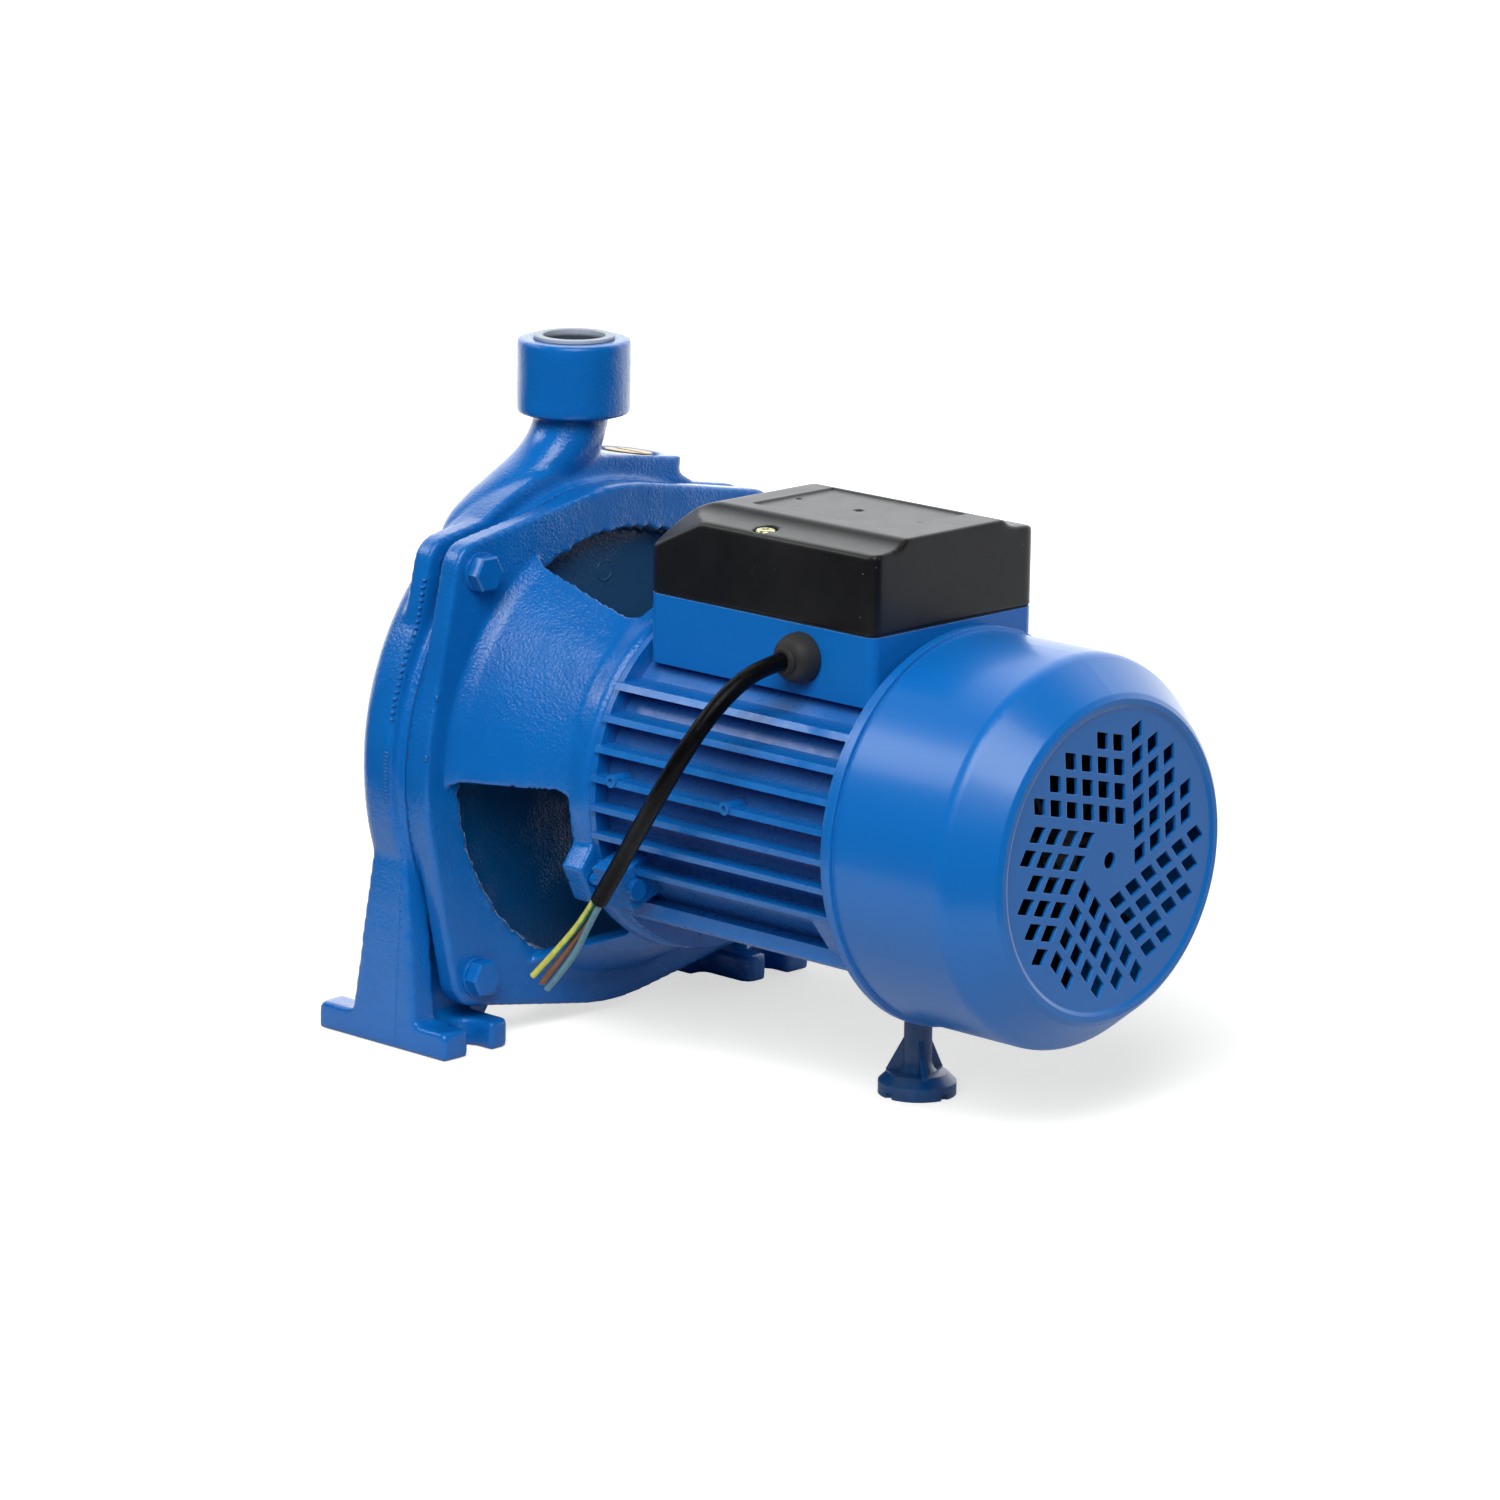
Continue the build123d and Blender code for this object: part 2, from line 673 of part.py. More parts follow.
for end, (x_start, x_end) in (("front", front_bearing_x), ("rear", rear_bearing_x)):
    middle = (x_start + x_end) / 2

    with BuildPart() as inner_ring:
        tube(x_start, x_end, ring_in[1], ring_in[0])
        ball_groove(middle)
    inner_ring.part.label = end + "_bearing_inner_ring"
    export_step(inner_ring.part, "parts/" + end + "_bearing_inner_ring.step")

    with BuildPart() as outer_ring:
        tube(x_start, x_end, ring_out[1] - race_gap, ring_out[0])
        ball_groove(middle)
    outer_ring.part.label = end + "_bearing_outer_ring"
    export_step(outer_ring.part, "parts/" + end + "_bearing_outer_ring.step")

    with BuildPart() as balls:
        with Locations(across(middle)):
            with PolarLocations(ball_orbit, ball_count):
                Sphere(ball_radius)
    balls.part.label = end + "_bearing_balls"
    export_step(balls.part, "parts/" + end + "_bearing_balls.step")

    with BuildPart() as cage:
        tube(middle - 4.6, middle + 4.6, cage_radii[1], cage_radii[0])
        for ball in range(ball_count):
            turn = math.radians(90 + ball * 360 / ball_count)
            outward = Plane(origin=(middle, 0, shaft_z), z_dir=(0, -math.sin(turn), math.cos(turn)))
            with BuildSketch(outward):
                Circle(ball_radius + 0.15)
            extrude(amount=20, mode=Mode.SUBTRACT)
    cage.part.label = end + "_bearing_cage"
    export_step(cage.part, "parts/" + end + "_bearing_cage.step")

with BuildPart() as bearing_wave_spring:
    tube(rear_bearing_x[1], rear_bearing_x[1] + 0.9, ring_out[1] - 0.2, 16.4)
bearing_wave_spring.part.label = "bearing_wave_spring"
export_step(bearing_wave_spring.part, "parts/bearing_wave_spring.step")

# ---- rotor and stator ----
rotor_radius = 32.1
stator_bore = 32.5
slot_count = 24
slot_floor = 47.0

with BuildPart() as rotor_core:
    tube(stack_x[0], stack_x[1], rotor_radius, rotor_shaft_radius)
rotor_core.part.label = "rotor_core"
export_step(rotor_core.part, "parts/rotor_core.step")

with BuildPart() as rotor_end_rings:
    tube(stack_x[0] - 6, stack_x[0], 31.0, 22.0)
    tube(stack_x[1], stack_x[1] + 6, 31.0, 22.0)
rotor_end_rings.part.label = "rotor_end_rings"
export_step(rotor_end_rings.part, "parts/rotor_end_rings.step")

with BuildPart() as stator_core:
    tube(stack_x[0], stack_x[1], frame_bore - 0.05, stator_bore)
    with BuildSketch(across(stack_x[0])):
        with PolarLocations((slot_floor + 36) / 2, slot_count):
            RectangleRounded(slot_floor - 36, 4.6, 1.2)
    extrude(amount=stack_x[1] - stack_x[0], mode=Mode.SUBTRACT)
stator_core.part.label = "stator_core"
export_step(stator_core.part, "parts/stator_core.step")

winding_overhang = 13.0
with BuildPart() as stator_windings:
    with BuildSketch(across(stack_x[0] - 1)):
        with PolarLocations((slot_floor + 36) / 2, slot_count):
            RectangleRounded(slot_floor - 36 - 0.6, 4.0, 1.0)
    extrude(amount=stack_x[1] - stack_x[0] + 2)
    for face_x, outward in ((stack_x[0] - 0.6, -1), (stack_x[1] + 0.6, 1)):
        with BuildSketch(half_section()) as bundle:
            with BuildLine():
                Polyline(
                    (face_x, 35.5),
                    (face_x + outward * winding_overhang, 35.5),
                    (face_x + outward * winding_overhang, 48),
                    (face_x, 50),
                    close=True,
                )
            make_face()
            fillet(bundle.vertices().filter_by(lambda v: abs(v.X - face_x) > 1), radius=4)
        revolve(axis=SHAFT)
stator_windings.part.label = "stator_windings"
export_step(stator_windings.part, "parts/stator_windings.step")

# ---- finned motor frame with rails, frame lugs, posts and the foot's pad ----
frame_lug_x = (86.7, 102.0)
post_x = (93.8, 153.3)
post_z = 116.8
post_radius = 2.5
gusset_x = (193.0, 209.0)
foot_x = 188.0
foot_pad_z = 44.0
tie_head_height = 2.4
rear_plug_x = 206.0
shield_screw_spots = tuple(polar(66, angle) for angle in (45, 135, 225, 315))

with BuildPart() as motor_frame:
    tube(frame_x[0], frame_flange_x, frame_flange_radius, 30)
    tube(frame_flange_x, frame_x[1], frame_radius, 30)
    # fins: one slab each, through the body, with its tips on one cylinder
    with BuildSketch(across(frame_flange_x - 1)):
        for height in fin_heights:
            with Locations((0, height - shaft_z)):
                Rectangle(2 * fin_tip_radius, fin_thickness)
        Circle(fin_tip_radius, mode=Mode.INTERSECT)
    extrude(amount=cover_x[0] - frame_flange_x - 1)
    # a rail low on each side, and the gusset that joins it to the lowest fin by the fan cover
    for side in (-1, 1):
        with BuildSketch(across(frame_flange_x)):
            Polygon(
                (side * 30, rail_z[0] - shaft_z),
                (side * (rail_half_y - 3), rail_z[0] - shaft_z),
                (side * rail_half_y, rail_z[0] - shaft_z + 2),
                (side * rail_half_y, rail_z[1] - shaft_z),
                (side * 30, rail_z[1] - shaft_z),
                align=None,
            )
        extrude(amount=frame_x[1] - frame_flange_x)
        with BuildSketch(across(gusset_x[0])):
            Polygon(
                (side * 40, rail_z[1] - shaft_z - 1),
                (side * rail_half_y, rail_z[1] - shaft_z - 1),
                (side * 67.3, fin_heights[0] - shaft_z),
                (side * 45, fin_heights[0] - shaft_z),
                align=None,
            )
        extrude(amount=gusset_x[1] - gusset_x[0])
        with BuildSketch(across(frame_lug_x[0])):
            Polygon(
                polar(58, side * (lug_angle - 7)),
                polar(79, side * (lug_angle - 7)),
                polar(79, side * (lug_angle + 5.5)),
                polar(60, side * (lug_angle + 9)),
                align=None,
            )
        extrude(amount=frame_lug_x[1] - frame_lug_x[0])
        with BuildSketch(Plane.XZ.offset(-side * 58)):
            for x in post_x:
                with Locations((x, post_z)):
                    Circle(post_radius)
        extrude(amount=-side * 14.5)
        with BuildSketch(Plane.XZ.offset(-side * 72.5)):
            for x in post_x:
                with Locations((x, post_z)):
                    Circle(1.1)
        extrude(amount=side * 1.0, mode=Mode.SUBTRACT)
    # raised land that the fan cover is pushed on to
    tube(cover_x[0] - 4, frame_x[1], cover_radius - cover_sheet - 0.3, 30)
    # boss for the rear foot
    with BuildSketch(Plane.XY.offset(foot_pad_z)):
        with Locations((foot_x, 0)):
            Circle(10)
    extrude(amount=12)
    # the bore, and holes for the tie bolts and the foot's screw
    with BuildSketch(across(frame_x[0] - 1)):
        Circle(frame_bore)
    extrude(amount=frame_x[1] - frame_x[0] + 2, mode=Mode.SUBTRACT)
    with BuildSketch(across(frame_x[0] - 1)):
        with Locations(polar(tie_radius, lug_angle), polar(tie_radius, -lug_angle)):
            Circle(m5_hole_radius)
    extrude(amount=frame_lug_x[1] - frame_x[0] + 2, mode=Mode.SUBTRACT)
    with BuildSketch(Plane.XY.offset(foot_pad_z - 1)):
        with Locations((foot_x, 0)):
            Circle(2.6)
    extrude(amount=10, mode=Mode.SUBTRACT)
    with BuildSketch(across(frame_x[1] - 8)):
        with Locations(*shield_screw_spots):
            Circle(2.6)
    extrude(amount=9, mode=Mode.SUBTRACT)
    # way for the leads, from the terminal box into the motor
    with BuildSketch(Plane.XY.offset(shaft_z + 50)):
        with Locations((96, 0)):
            Circle(5)
    extrude(amount=20, mode=Mode.SUBTRACT)
motor_frame.part.label = "motor_frame"
export_step(motor_frame.part, "parts/motor_frame.step")

with BuildPart() as tie_bolts:
    for side in (-1, 1):
        spot = polar(tie_radius, side * lug_angle)
        with BuildSketch(across(ring_x[0])):
            with Locations(spot):
                Circle(tie_nut_radius)
        extrude(amount=tie_nut_height)
        with BuildSketch(across(ring_x[0])):
            with Locations(spot):
                Circle(m5_radius)
        extrude(amount=frame_lug_x[1] + 1 - ring_x[0])
        with BuildSketch(across(frame_lug_x[1])):
            with Locations(spot):
                Circle(tie_nut_radius)
        extrude(amount=tie_head_height)
tie_bolts.part.label = "tie_bolts"
export_step(tie_bolts.part, "parts/tie_bolts.step")

# ---- shield that closes the motor's rear end and holds the rear bearing ----
with BuildPart() as rear_end_shield:
    tube(rear_plug_x, frame_x[1], frame_bore - fit_gap, 50)
    tube(frame_x[1], frame_x[1] + 4, 69.0, 20)
    tube(frame_x[1] - 4, rear_bearing_x[1] + 1, 24.0, ring_out[1])
    tube(rear_bearing_x[1] + 1, rear_bearing_x[1] + 4, 24.0, 9.0)
    with BuildSketch(across(frame_x[1] - 1)):
        with Locations(*shield_screw_spots):
            Circle(2.7)
    extrude(amount=6, mode=Mode.SUBTRACT)
rear_end_shield.part.label = "rear_end_shield"
export_step(rear_end_shield.part, "parts/rear_end_shield.step")

with BuildPart() as end_shield_screws:
    with BuildSketch(across(frame_x[1] + 4)):
        with Locations(*shield_screw_spots):
            Circle(4.2)
    extrude(amount=3)
    with BuildSketch(across(frame_x[1] - 7)):
        with Locations(*shield_screw_spots):
            Circle(2.5)
    extrude(amount=12)
end_shield_screws.part.label = "end_shield_screws"
export_step(end_shield_screws.part, "parts/end_shield_screws.step")

# ---- cooling fan and the clip that keeps it on the shaft ----
fan_blade = (34.0, 48.0)
blade_count = 9

with BuildPart() as cooling_fan:
    tube(fan_x[0], fan_x[1], 12.0, 7.05)
    tube(fan_x[0], fan_x[0] + 2.5, 50.0, 7.05)
    with BuildSketch(across(fan_x[0] + 1)):
        with PolarLocations(fan_blade[0], blade_count):
            Rectangle(fan_blade[1], 2.2)
    extrude(amount=fan_x[1] - fan_x[0] - 2)
cooling_fan.part.label = "cooling_fan"
export_step(cooling_fan.part, "parts/cooling_fan.step")

with BuildPart() as fan_clip:
    tube(fan_x[1] + 0.1, fan_x[1] + 1.3, 10.5, 7.05)
    with BuildSketch(across(fan_x[1])):
        with Locations((0, 9)):
            Rectangle(5, 8)
    extrude(amount=2, mode=Mode.SUBTRACT)
fan_clip.part.label = "fan_clip"
export_step(fan_clip.part, "parts/fan_clip.step")

# ---- fan cover: pressed sheet with a cone, a flat face and a five-fold grille of rhombic holes ----
cone_start_x = 264.0
cone_end = (280.4, 62.6)
hole_side = 6.4
hole_pitch = 9.35
row_lengths = (6, 5, 4, 2)
first_hole = (16.9, 71.75)
row_angle = 166.5
column_angle = 94.5
sectors = 5


def spoke(radius, angle):
    """Point at a distance and an angle, counted from +Y towards +Z."""
    turn = math.radians(angle)
    return Vector(radius * math.cos(turn), radius * math.sin(turn))


with BuildPart() as fan_cover:
    with BuildSketch(half_section()) as cover_profile:
        with BuildLine():
            Polyline(
                (cover_x[0], cover_radius - cover_sheet),
                (cover_x[0], cover_lip_radius),
                (cover_x[0] + 3.2, cover_lip_radius),
                (cover_x[0] + 3.6, cover_radius - 0.3),
                (cover_x[0] + 4.2, cover_radius),
                (cone_start_x, cover_radius),
                cone_end,
                (cover_x[1], cone_end[1] - 2),
                (cover_x[1], grille_radius + 1.4),
                (grille_x, grille_radius),
                (grille_x, 0),
                (grille_x - cover_sheet, 0),
                (grille_x - cover_sheet, grille_radius + 2),
                (cone_start_x - 0.5, cover_radius - cover_sheet),
                close=True,
            )
        make_face()
        bends = cover_profile.vertices().filter_by(lambda v: abs(v.X - cone_start_x) < 1)
        fillet(bends, radius=8)
        rims = cover_profile.vertices().filter_by(lambda v: abs(v.X - cone_end[0]) < 0.01)
        fillet(rims, radius=2.0)
    revolve(axis=SHAFT)
    with BuildSketch(across(grille_x - cover_sheet - 1)) as grille:
        for sector in range(sectors):
            swing = sector * 360 / sectors
            origin = spoke(first_hole[0], first_hole[1] + swing)
            along = spoke(1, row_angle + swing)
            up = spoke(1, column_angle + swing)
            for row, length in enumerate(row_lengths):
                for step in range(length):
                    middle = origin + along * (hole_pitch * step) + up * (hole_pitch * row)
                    corners = [
                        middle + along * (side * hole_side / 2) + up * (end * hole_side / 2)
                        for side, end in ((-1, -1), (1, -1), (1, 1), (-1, 1))
                    ]
                    Polygon(*corners, align=None)
        fillet(grille.vertices(), radius=0.5)
        Circle(3.25)
    extrude(amount=4, mode=Mode.SUBTRACT)
fan_cover.part.label = "fan_cover"
export_step(fan_cover.part, "parts/fan_cover.step")

# ---- terminal box: base that saddles the motor frame ----
box_middle_x = (box_x[0] + box_x[1]) / 2
box_length = box_x[1] - box_x[0]
box_wall = 2.5
saddle_radius = frame_radius + 0.3
floor_radius = 65.0
gland_centre = (166.5, 172.8)
gland_hole_radius = 5.6
block_x = (100.0, 150.0)
block_y = (-30.0, -12.0)
block_floor_z = 172.6


def box_plane(z):
    """Level plane with its origin at the middle of the terminal box."""
    return Plane.XY.offset(z).shift_origin((box_middle_x, 0, z))


with BuildPart() as terminal_box_base:
    with BuildSketch(box_plane(box_z[0])):
        RectangleRounded(box_length, 2 * box_half_y, 4)
    extrude(amount=box_z[1] - box_z[0])
    with BuildSketch(box_plane(box_z[0] + 2)):
        RectangleRounded(box_length - 2 * box_wall, 2 * (box_half_y - box_wall), 2)
    extrude(amount=box_z[1] - box_z[0], mode=Mode.SUBTRACT)
    with BuildSketch(across(box_x[0] + 1)):
        Circle(floor_radius)
        with Locations((0, box_z[0] - shaft_z + 20)):
            Rectangle(2 * box_half_y - 2, 40, mode=Mode.INTERSECT)
    extrude(amount=box_length - 2)
    with BuildSketch(Plane.XY.offset(box_z[0] + 4)):
        with Locations(((block_x[0] + block_x[1]) / 2, (block_y[0] + block_y[1]) / 2)):
            Rectangle(block_x[1] - block_x[0], block_y[1] - block_y[0])
    extrude(amount=block_floor_z - box_z[0] - 4)
    with BuildSketch(Plane.XY.offset(box_z[0] + 1)):
        with Locations(*cover_screw_spots):
            Circle(4.8)
    extrude(amount=box_z[1] - box_z[0] - 1)
    with BuildSketch(across(box_x[0] - 1)):
        Circle(saddle_radius)
    extrude(amount=box_length + 2, mode=Mode.SUBTRACT)
    with BuildSketch(Plane.XY.offset(box_z[1] - 15)):
        with Locations(*cover_screw_spots):
            Circle(2.0 + fit_gap)
    extrude(amount=20, mode=Mode.SUBTRACT)
    with BuildSketch(Plane.XZ.offset(box_half_y - box_wall - 1)):
        with Locations(gland_centre):
            Circle(gland_hole_radius)
    extrude(amount=box_wall + 2, mode=Mode.SUBTRACT)
    with BuildSketch(Plane.XY.offset(box_z[0])):
        with Locations((96, 0)):
            Circle(5)
    extrude(amount=20, mode=Mode.SUBTRACT)
terminal_box_base.part.label = "terminal_box_base"
export_step(terminal_box_base.part, "parts/terminal_box_base.step")

# ---- terminal box: flat seal and cover ----
seal_height = 0.6
lid_bottom_z = box_z[1] + seal_height
ledge_inner_y = 36.0
recess = (150.0, 2.5, 69.0, 45.0)
recess_depth = 0.8

with BuildPart() as terminal_box_gasket:
    with BuildSketch(box_plane(box_z[1])):
        RectangleRounded(box_length - 0.8, 2 * box_half_y - 0.8, 3.6)
        RectangleRounded(box_length - 2 * box_wall, 2 * (box_half_y - box_wall), 2, mode=Mode.SUBTRACT)
    extrude(amount=seal_height)
terminal_box_gasket.part.label = "terminal_box_gasket"
export_step(terminal_box_gasket.part, "parts/terminal_box_gasket.step")

with BuildPart() as terminal_box_cover:
    # walls, ledges, hollow coves and the raised middle, in one outline across the box
    with BuildSketch(across(box_x[0])):
        with BuildLine():
            wall_foot = (box_half_y, lid_bottom_z - shaft_z)
            wall_top = (box_half_y, lid_ledge_z - shaft_z)
            ledge_outer = (box_half_y - 2.2, lid_ledge_z + 2.0 - shaft_z)
            ledge_inner = (ledge_inner_y, lid_ledge_z + 2.6 - shaft_z)
            cove_top = (plateau_half_y + 1.2, lid_plateau_z - 1.1 - shaft_z)
            Line((0, lid_bottom_z - shaft_z), wall_foot)
            Line(wall_foot, wall_top)
            ThreePointArc(wall_top, (box_half_y - 0.6, lid_ledge_z + 1.4 - shaft_z), ledge_outer)
            Line(ledge_outer, ledge_inner)
            ThreePointArc(ledge_inner, (31.2, lid_plateau_z - 2.7 - shaft_z), cove_top)
            plateau_edge = (plateau_half_y - 0.6, lid_plateau_z - shaft_z)
            ThreePointArc(cove_top, (plateau_half_y + 0.6, lid_plateau_z - 0.4 - shaft_z), plateau_edge)
            Line(plateau_edge, (0, lid_plateau_z - shaft_z))
            mirror(about=Plane.YZ)
        make_face()
    extrude(amount=box_length)
    # vertical corners, then the rounded slope and the two corner facets at the pump end
    with BuildSketch(box_plane(box_z[0])):
        RectangleRounded(box_length, 2 * box_half_y, 3.6)
    extrude(amount=lid_plateau_z - box_z[0] + 10, mode=Mode.INTERSECT)
    with BuildSketch(Plane.XZ.offset(-box_half_y - 5)):
        with BuildLine():
            Line((box_x[0] - 2, 199.5), (box_x[0], 202.5))
            ThreePointArc((box_x[0], 202.5), (92.8, 214.5), (106.5, lid_plateau_z + 0.1))
            Polyline((106.5, lid_plateau_z + 0.1), (106.5, 230), (box_x[0] - 2, 230), (box_x[0] - 2, 199.5))
        make_face()
    extrude(amount=2 * box_half_y + 10, mode=Mode.SUBTRACT)
    for side in (-1, 1):
        facet_normal = (-0.369, side * 0.525, 0.768)
        facet = Plane(origin=(100, side * box_half_y, 209.0), x_dir=(25, 0, 12), z_dir=facet_normal)
        with BuildSketch(facet):
            Rectangle(80, 60)
        extrude(amount=20, mode=Mode.SUBTRACT)
    # hollow inside
    with BuildSketch(Plane.XZ.offset(-(box_half_y - box_wall))):
        Polygon(
            (box_x[0] + box_wall, lid_bottom_z - 1),
            (box_x[1] - box_wall, lid_bottom_z - 1),
            (box_x[1] - box_wall, lid_ledge_z - 1),
            (106, lid_ledge_z - 1),
            (box_x[0] + box_wall, 198),
            align=None,
        )
    extrude(amount=2 * (box_half_y - box_wall), mode=Mode.SUBTRACT)
    with BuildSketch(Plane.XY.offset(lid_ledge_z - 2)):
        with Locations(((110 + box_x[1] - box_wall) / 2, 0)):
            Rectangle(box_x[1] - box_wall - 110, 2 * plateau_half_y - 6)
    extrude(amount=lid_plateau_z - box_wall - lid_ledge_z + 2, mode=Mode.SUBTRACT)
    # screw posts, with sunk seats in the ledges
    with BuildSketch(Plane.XY.offset(lid_bottom_z)):
        with Locations(*cover_screw_spots):
            Circle(4.8)
    extrude(amount=lid_ledge_z - lid_bottom_z)
    with BuildSketch(Plane.XY.offset(screw_seat_z)):
        with Locations(*cover_screw_spots):
            Circle(4.7)
    extrude(amount=8, mode=Mode.SUBTRACT)
    with BuildSketch(Plane.XY.offset(lid_bottom_z - 1)):
        with Locations(*cover_screw_spots):
            Circle(2.2)
    extrude(amount=40, mode=Mode.SUBTRACT)
    # shallow recess for a label, and its three holes
    with BuildSketch(Plane.XY.offset(lid_plateau_z - recess_depth)):
        with Locations((recess[0], recess[1])):
            RectangleRounded(recess[2], recess[3], 0.8)
    extrude(amount=5, mode=Mode.SUBTRACT)
    with BuildSketch(Plane.XY.offset(lid_plateau_z - 5)):
        with Locations((recess[0] - 31, recess[1]), (recess[0] + 31, recess[1])):
            Circle(1.0)
        with Locations((recess[0], recess[1])):
            Circle(1.6)
    extrude(amount=10, mode=Mode.SUBTRACT)
terminal_box_cover.part.label = "terminal_box_cover"
export_step(terminal_box_cover.part, "parts/terminal_box_cover.step")

with BuildPart() as cover_screws:
    with BuildSketch(Plane.XY.offset(box_z[1] - 12)):
        with Locations(*cover_screw_spots):
            Circle(2.0)
    extrude(amount=screw_seat_z - box_z[1] + 12)
    with BuildSketch(Plane.XY.offset(screw_seat_z)):
        with Locations(*cover_screw_spots):
            Circle(3.9)
    extrude(amount=2.2)
    fillet(cover_screws.edges().group_by(Axis.Z)[-1], radius=1.2)
    with BuildSketch(Plane.XY.offset(screw_seat_z + 1.1)):
        with Locations(*cover_screw_spots):
            Rectangle(4.4, 0.9)
            Rectangle(0.9, 4.4)
    extrude(amount=2, mode=Mode.SUBTRACT)
cover_screws.part.label = "cover_screws"
export_step(cover_screws.part, "parts/cover_screws.step")

# ---- inside the terminal box: terminal block, studs, run capacitor and its clip ----
stud_spots = ((110, -21), (125, -21), (140, -21))
capacitor_centre = (17.0, 194.5)
capacitor_radius = 15.5
capacitor_x = (106.0, 178.0)
clip_x = (118.0, 130.0)

with BuildPart() as terminal_block:
    with BuildSketch(Plane.XY.offset(block_floor_z)):
        with Locations(((block_x[0] + block_x[1]) / 2, (block_y[0] + block_y[1]) / 2)):
            RectangleRounded(block_x[1] - block_x[0] - 2, block_y[1] - block_y[0] - 1, 2)
    extrude(amount=9)
    with BuildSketch(Plane.XY.offset(block_floor_z + 8)):
        with Locations((117.5, -21), (132.5, -21)):
            Rectangle(1.6, 15)
    extrude(amount=8)
    with BuildSketch(Plane.XY.offset(block_floor_z + 3)):
        with Locations(*stud_spots):
            Circle(2.1)
    extrude(amount=10, mode=Mode.SUBTRACT)
terminal_block.part.label = "terminal_block"
export_step(terminal_block.part, "parts/terminal_block.step")

with BuildPart() as terminal_studs:
    with BuildSketch(Plane.XY.offset(block_floor_z + 3)):
        with Locations(*stud_spots):
            Circle(2.0)
    extrude(amount=18)
    with BuildSketch(Plane.XY.offset(block_floor_z + 9)):
        with Locations(*stud_spots):
            RegularPolygon(3.5, 6, major_radius=False)
    extrude(amount=3.2)
terminal_studs.part.label = "terminal_studs"
export_step(terminal_studs.part, "parts/terminal_studs.step")

with BuildPart() as run_capacitor:
    with BuildSketch(Plane.YZ.offset(capacitor_x[0])):
        with Locations(capacitor_centre):
            Circle(capacitor_radius)
    extrude(amount=capacitor_x[1] - capacitor_x[0])
    fillet(run_capacitor.edges().filter_by(GeomType.CIRCLE), radius=1.5)
    with BuildSketch(Plane.YZ.offset(capacitor_x[1])):
        with Locations(capacitor_centre):
            with GridLocations(12, 1, 2, 1):
                Rectangle(0.8, 6.3)
    extrude(amount=8)
run_capacitor.part.label = "run_capacitor"
export_step(run_capacitor.part, "parts/run_capacitor.step")

with BuildPart() as capacitor_clip:
    with BuildSketch(Plane.YZ.offset(clip_x[0])):
        with Locations(capacitor_centre):
            Circle(capacitor_radius + 1.1)
        with Locations((capacitor_centre[0], 175.6)):
            Rectangle(10, 6.4)
        with Locations(capacitor_centre):
            Circle(capacitor_radius + 0.05, mode=Mode.SUBTRACT)
    extrude(amount=clip_x[1] - clip_x[0])
capacitor_clip.part.label = "capacitor_clip"
export_step(capacitor_clip.part, "parts/capacitor_clip.step")

# ---- rubber gland in the box's wall, with the cable that comes out of it ----
GLAND = Axis((gland_centre[0], 0, gland_centre[1]), (0, -1, 0))

with BuildPart() as cable_gland:
    gland_plane = Plane(origin=(gland_centre[0], 0, gland_centre[1]), x_dir=(0, -1, 0), z_dir=(1, 0, 0))
    with BuildSketch(gland_plane):
        with BuildLine():
            Polyline(
                (box_half_y - box_wall - 3, 0),
                (box_half_y - box_wall - 3, 7.4),
                (box_half_y - box_wall - 0.05, 7.4),
                (box_half_y - box_wall - 0.05, gland_hole_radius - 0.05),
                (box_half_y + 0.05, gland_hole_radius - 0.05),
                (box_half_y + 0.05, 9.75),
                (box_half_y + 1.4, 9.75),
            )
            ThreePointArc((box_half_y + 1.4, 9.75), (box_half_y + 6.6, 8.4), (box_half_y + 9.4, 5.2))
            Polyline(
                (box_half_y + 9.4, 5.2),
                (gland_tip_y, 4.9),
                (gland_tip_y, 0),
                (box_half_y - box_wall - 3, 0),
            )
        make_face()
    revolve(axis=GLAND)
cable_gland.part.label = "cable_gland"
export_step(cable_gland.part, "parts/cable_gland.step")


def bend_radii(points):
    """Largest tangent arc that the two runs beside each corner leave room for."""
    radii = []
    for before, corner, after in zip(points, points[1:], points[2:]):
        run_in = Vector(*corner) - Vector(*before)
        run_out = Vector(*after) - Vector(*corner)
        half_turn = math.radians(run_in.get_angle(run_out)) / 2
        radii.append(0.45 * min(run_in.length, run_out.length) / math.tan(half_turn))
    return radii


for cord_name, cord_route, cord_radius in (
    ("power_cable", cable_route, cable_radius),
    ("earth_wire", earth_route, wire_radius),
    ("live_wire", live_route, wire_radius),
    ("neutral_wire", neutral_route, wire_radius),
):
    radii = bend_radii(cord_route)
    with BuildPart() as cord:
        with BuildLine() as cord_line:
            FilletPolyline(*cord_route, radius=radii)
        with BuildSketch(Plane(origin=cord_line.line @ 0, z_dir=cord_line.line % 0)):
            Circle(cord_radius)
        sweep()
    cord_length = sum(edge.length for edge in cord_line.edges())
    fill = cord.part.volume / (math.pi * cord_radius**2 * cord_length)
    print(cord_name, "length", round(cord_length, 1), "fill", round(fill, 4))
    print("  radii", [round(radius, 1) for radius in radii])
    cord.part.label = cord_name
    export_step(cord.part, "parts/" + cord_name + ".step")

# ---- ribbed foot under the motor's rear end, and its screw ----
foot_stem_radius = 5.4
foot_disc_radius = 15.0
rib_angles = (-34, 86, 206)
notch_angles = (-4, 86, 176, 266)
FOOT = Axis((foot_x, 0, 0), (0, 0, 1))

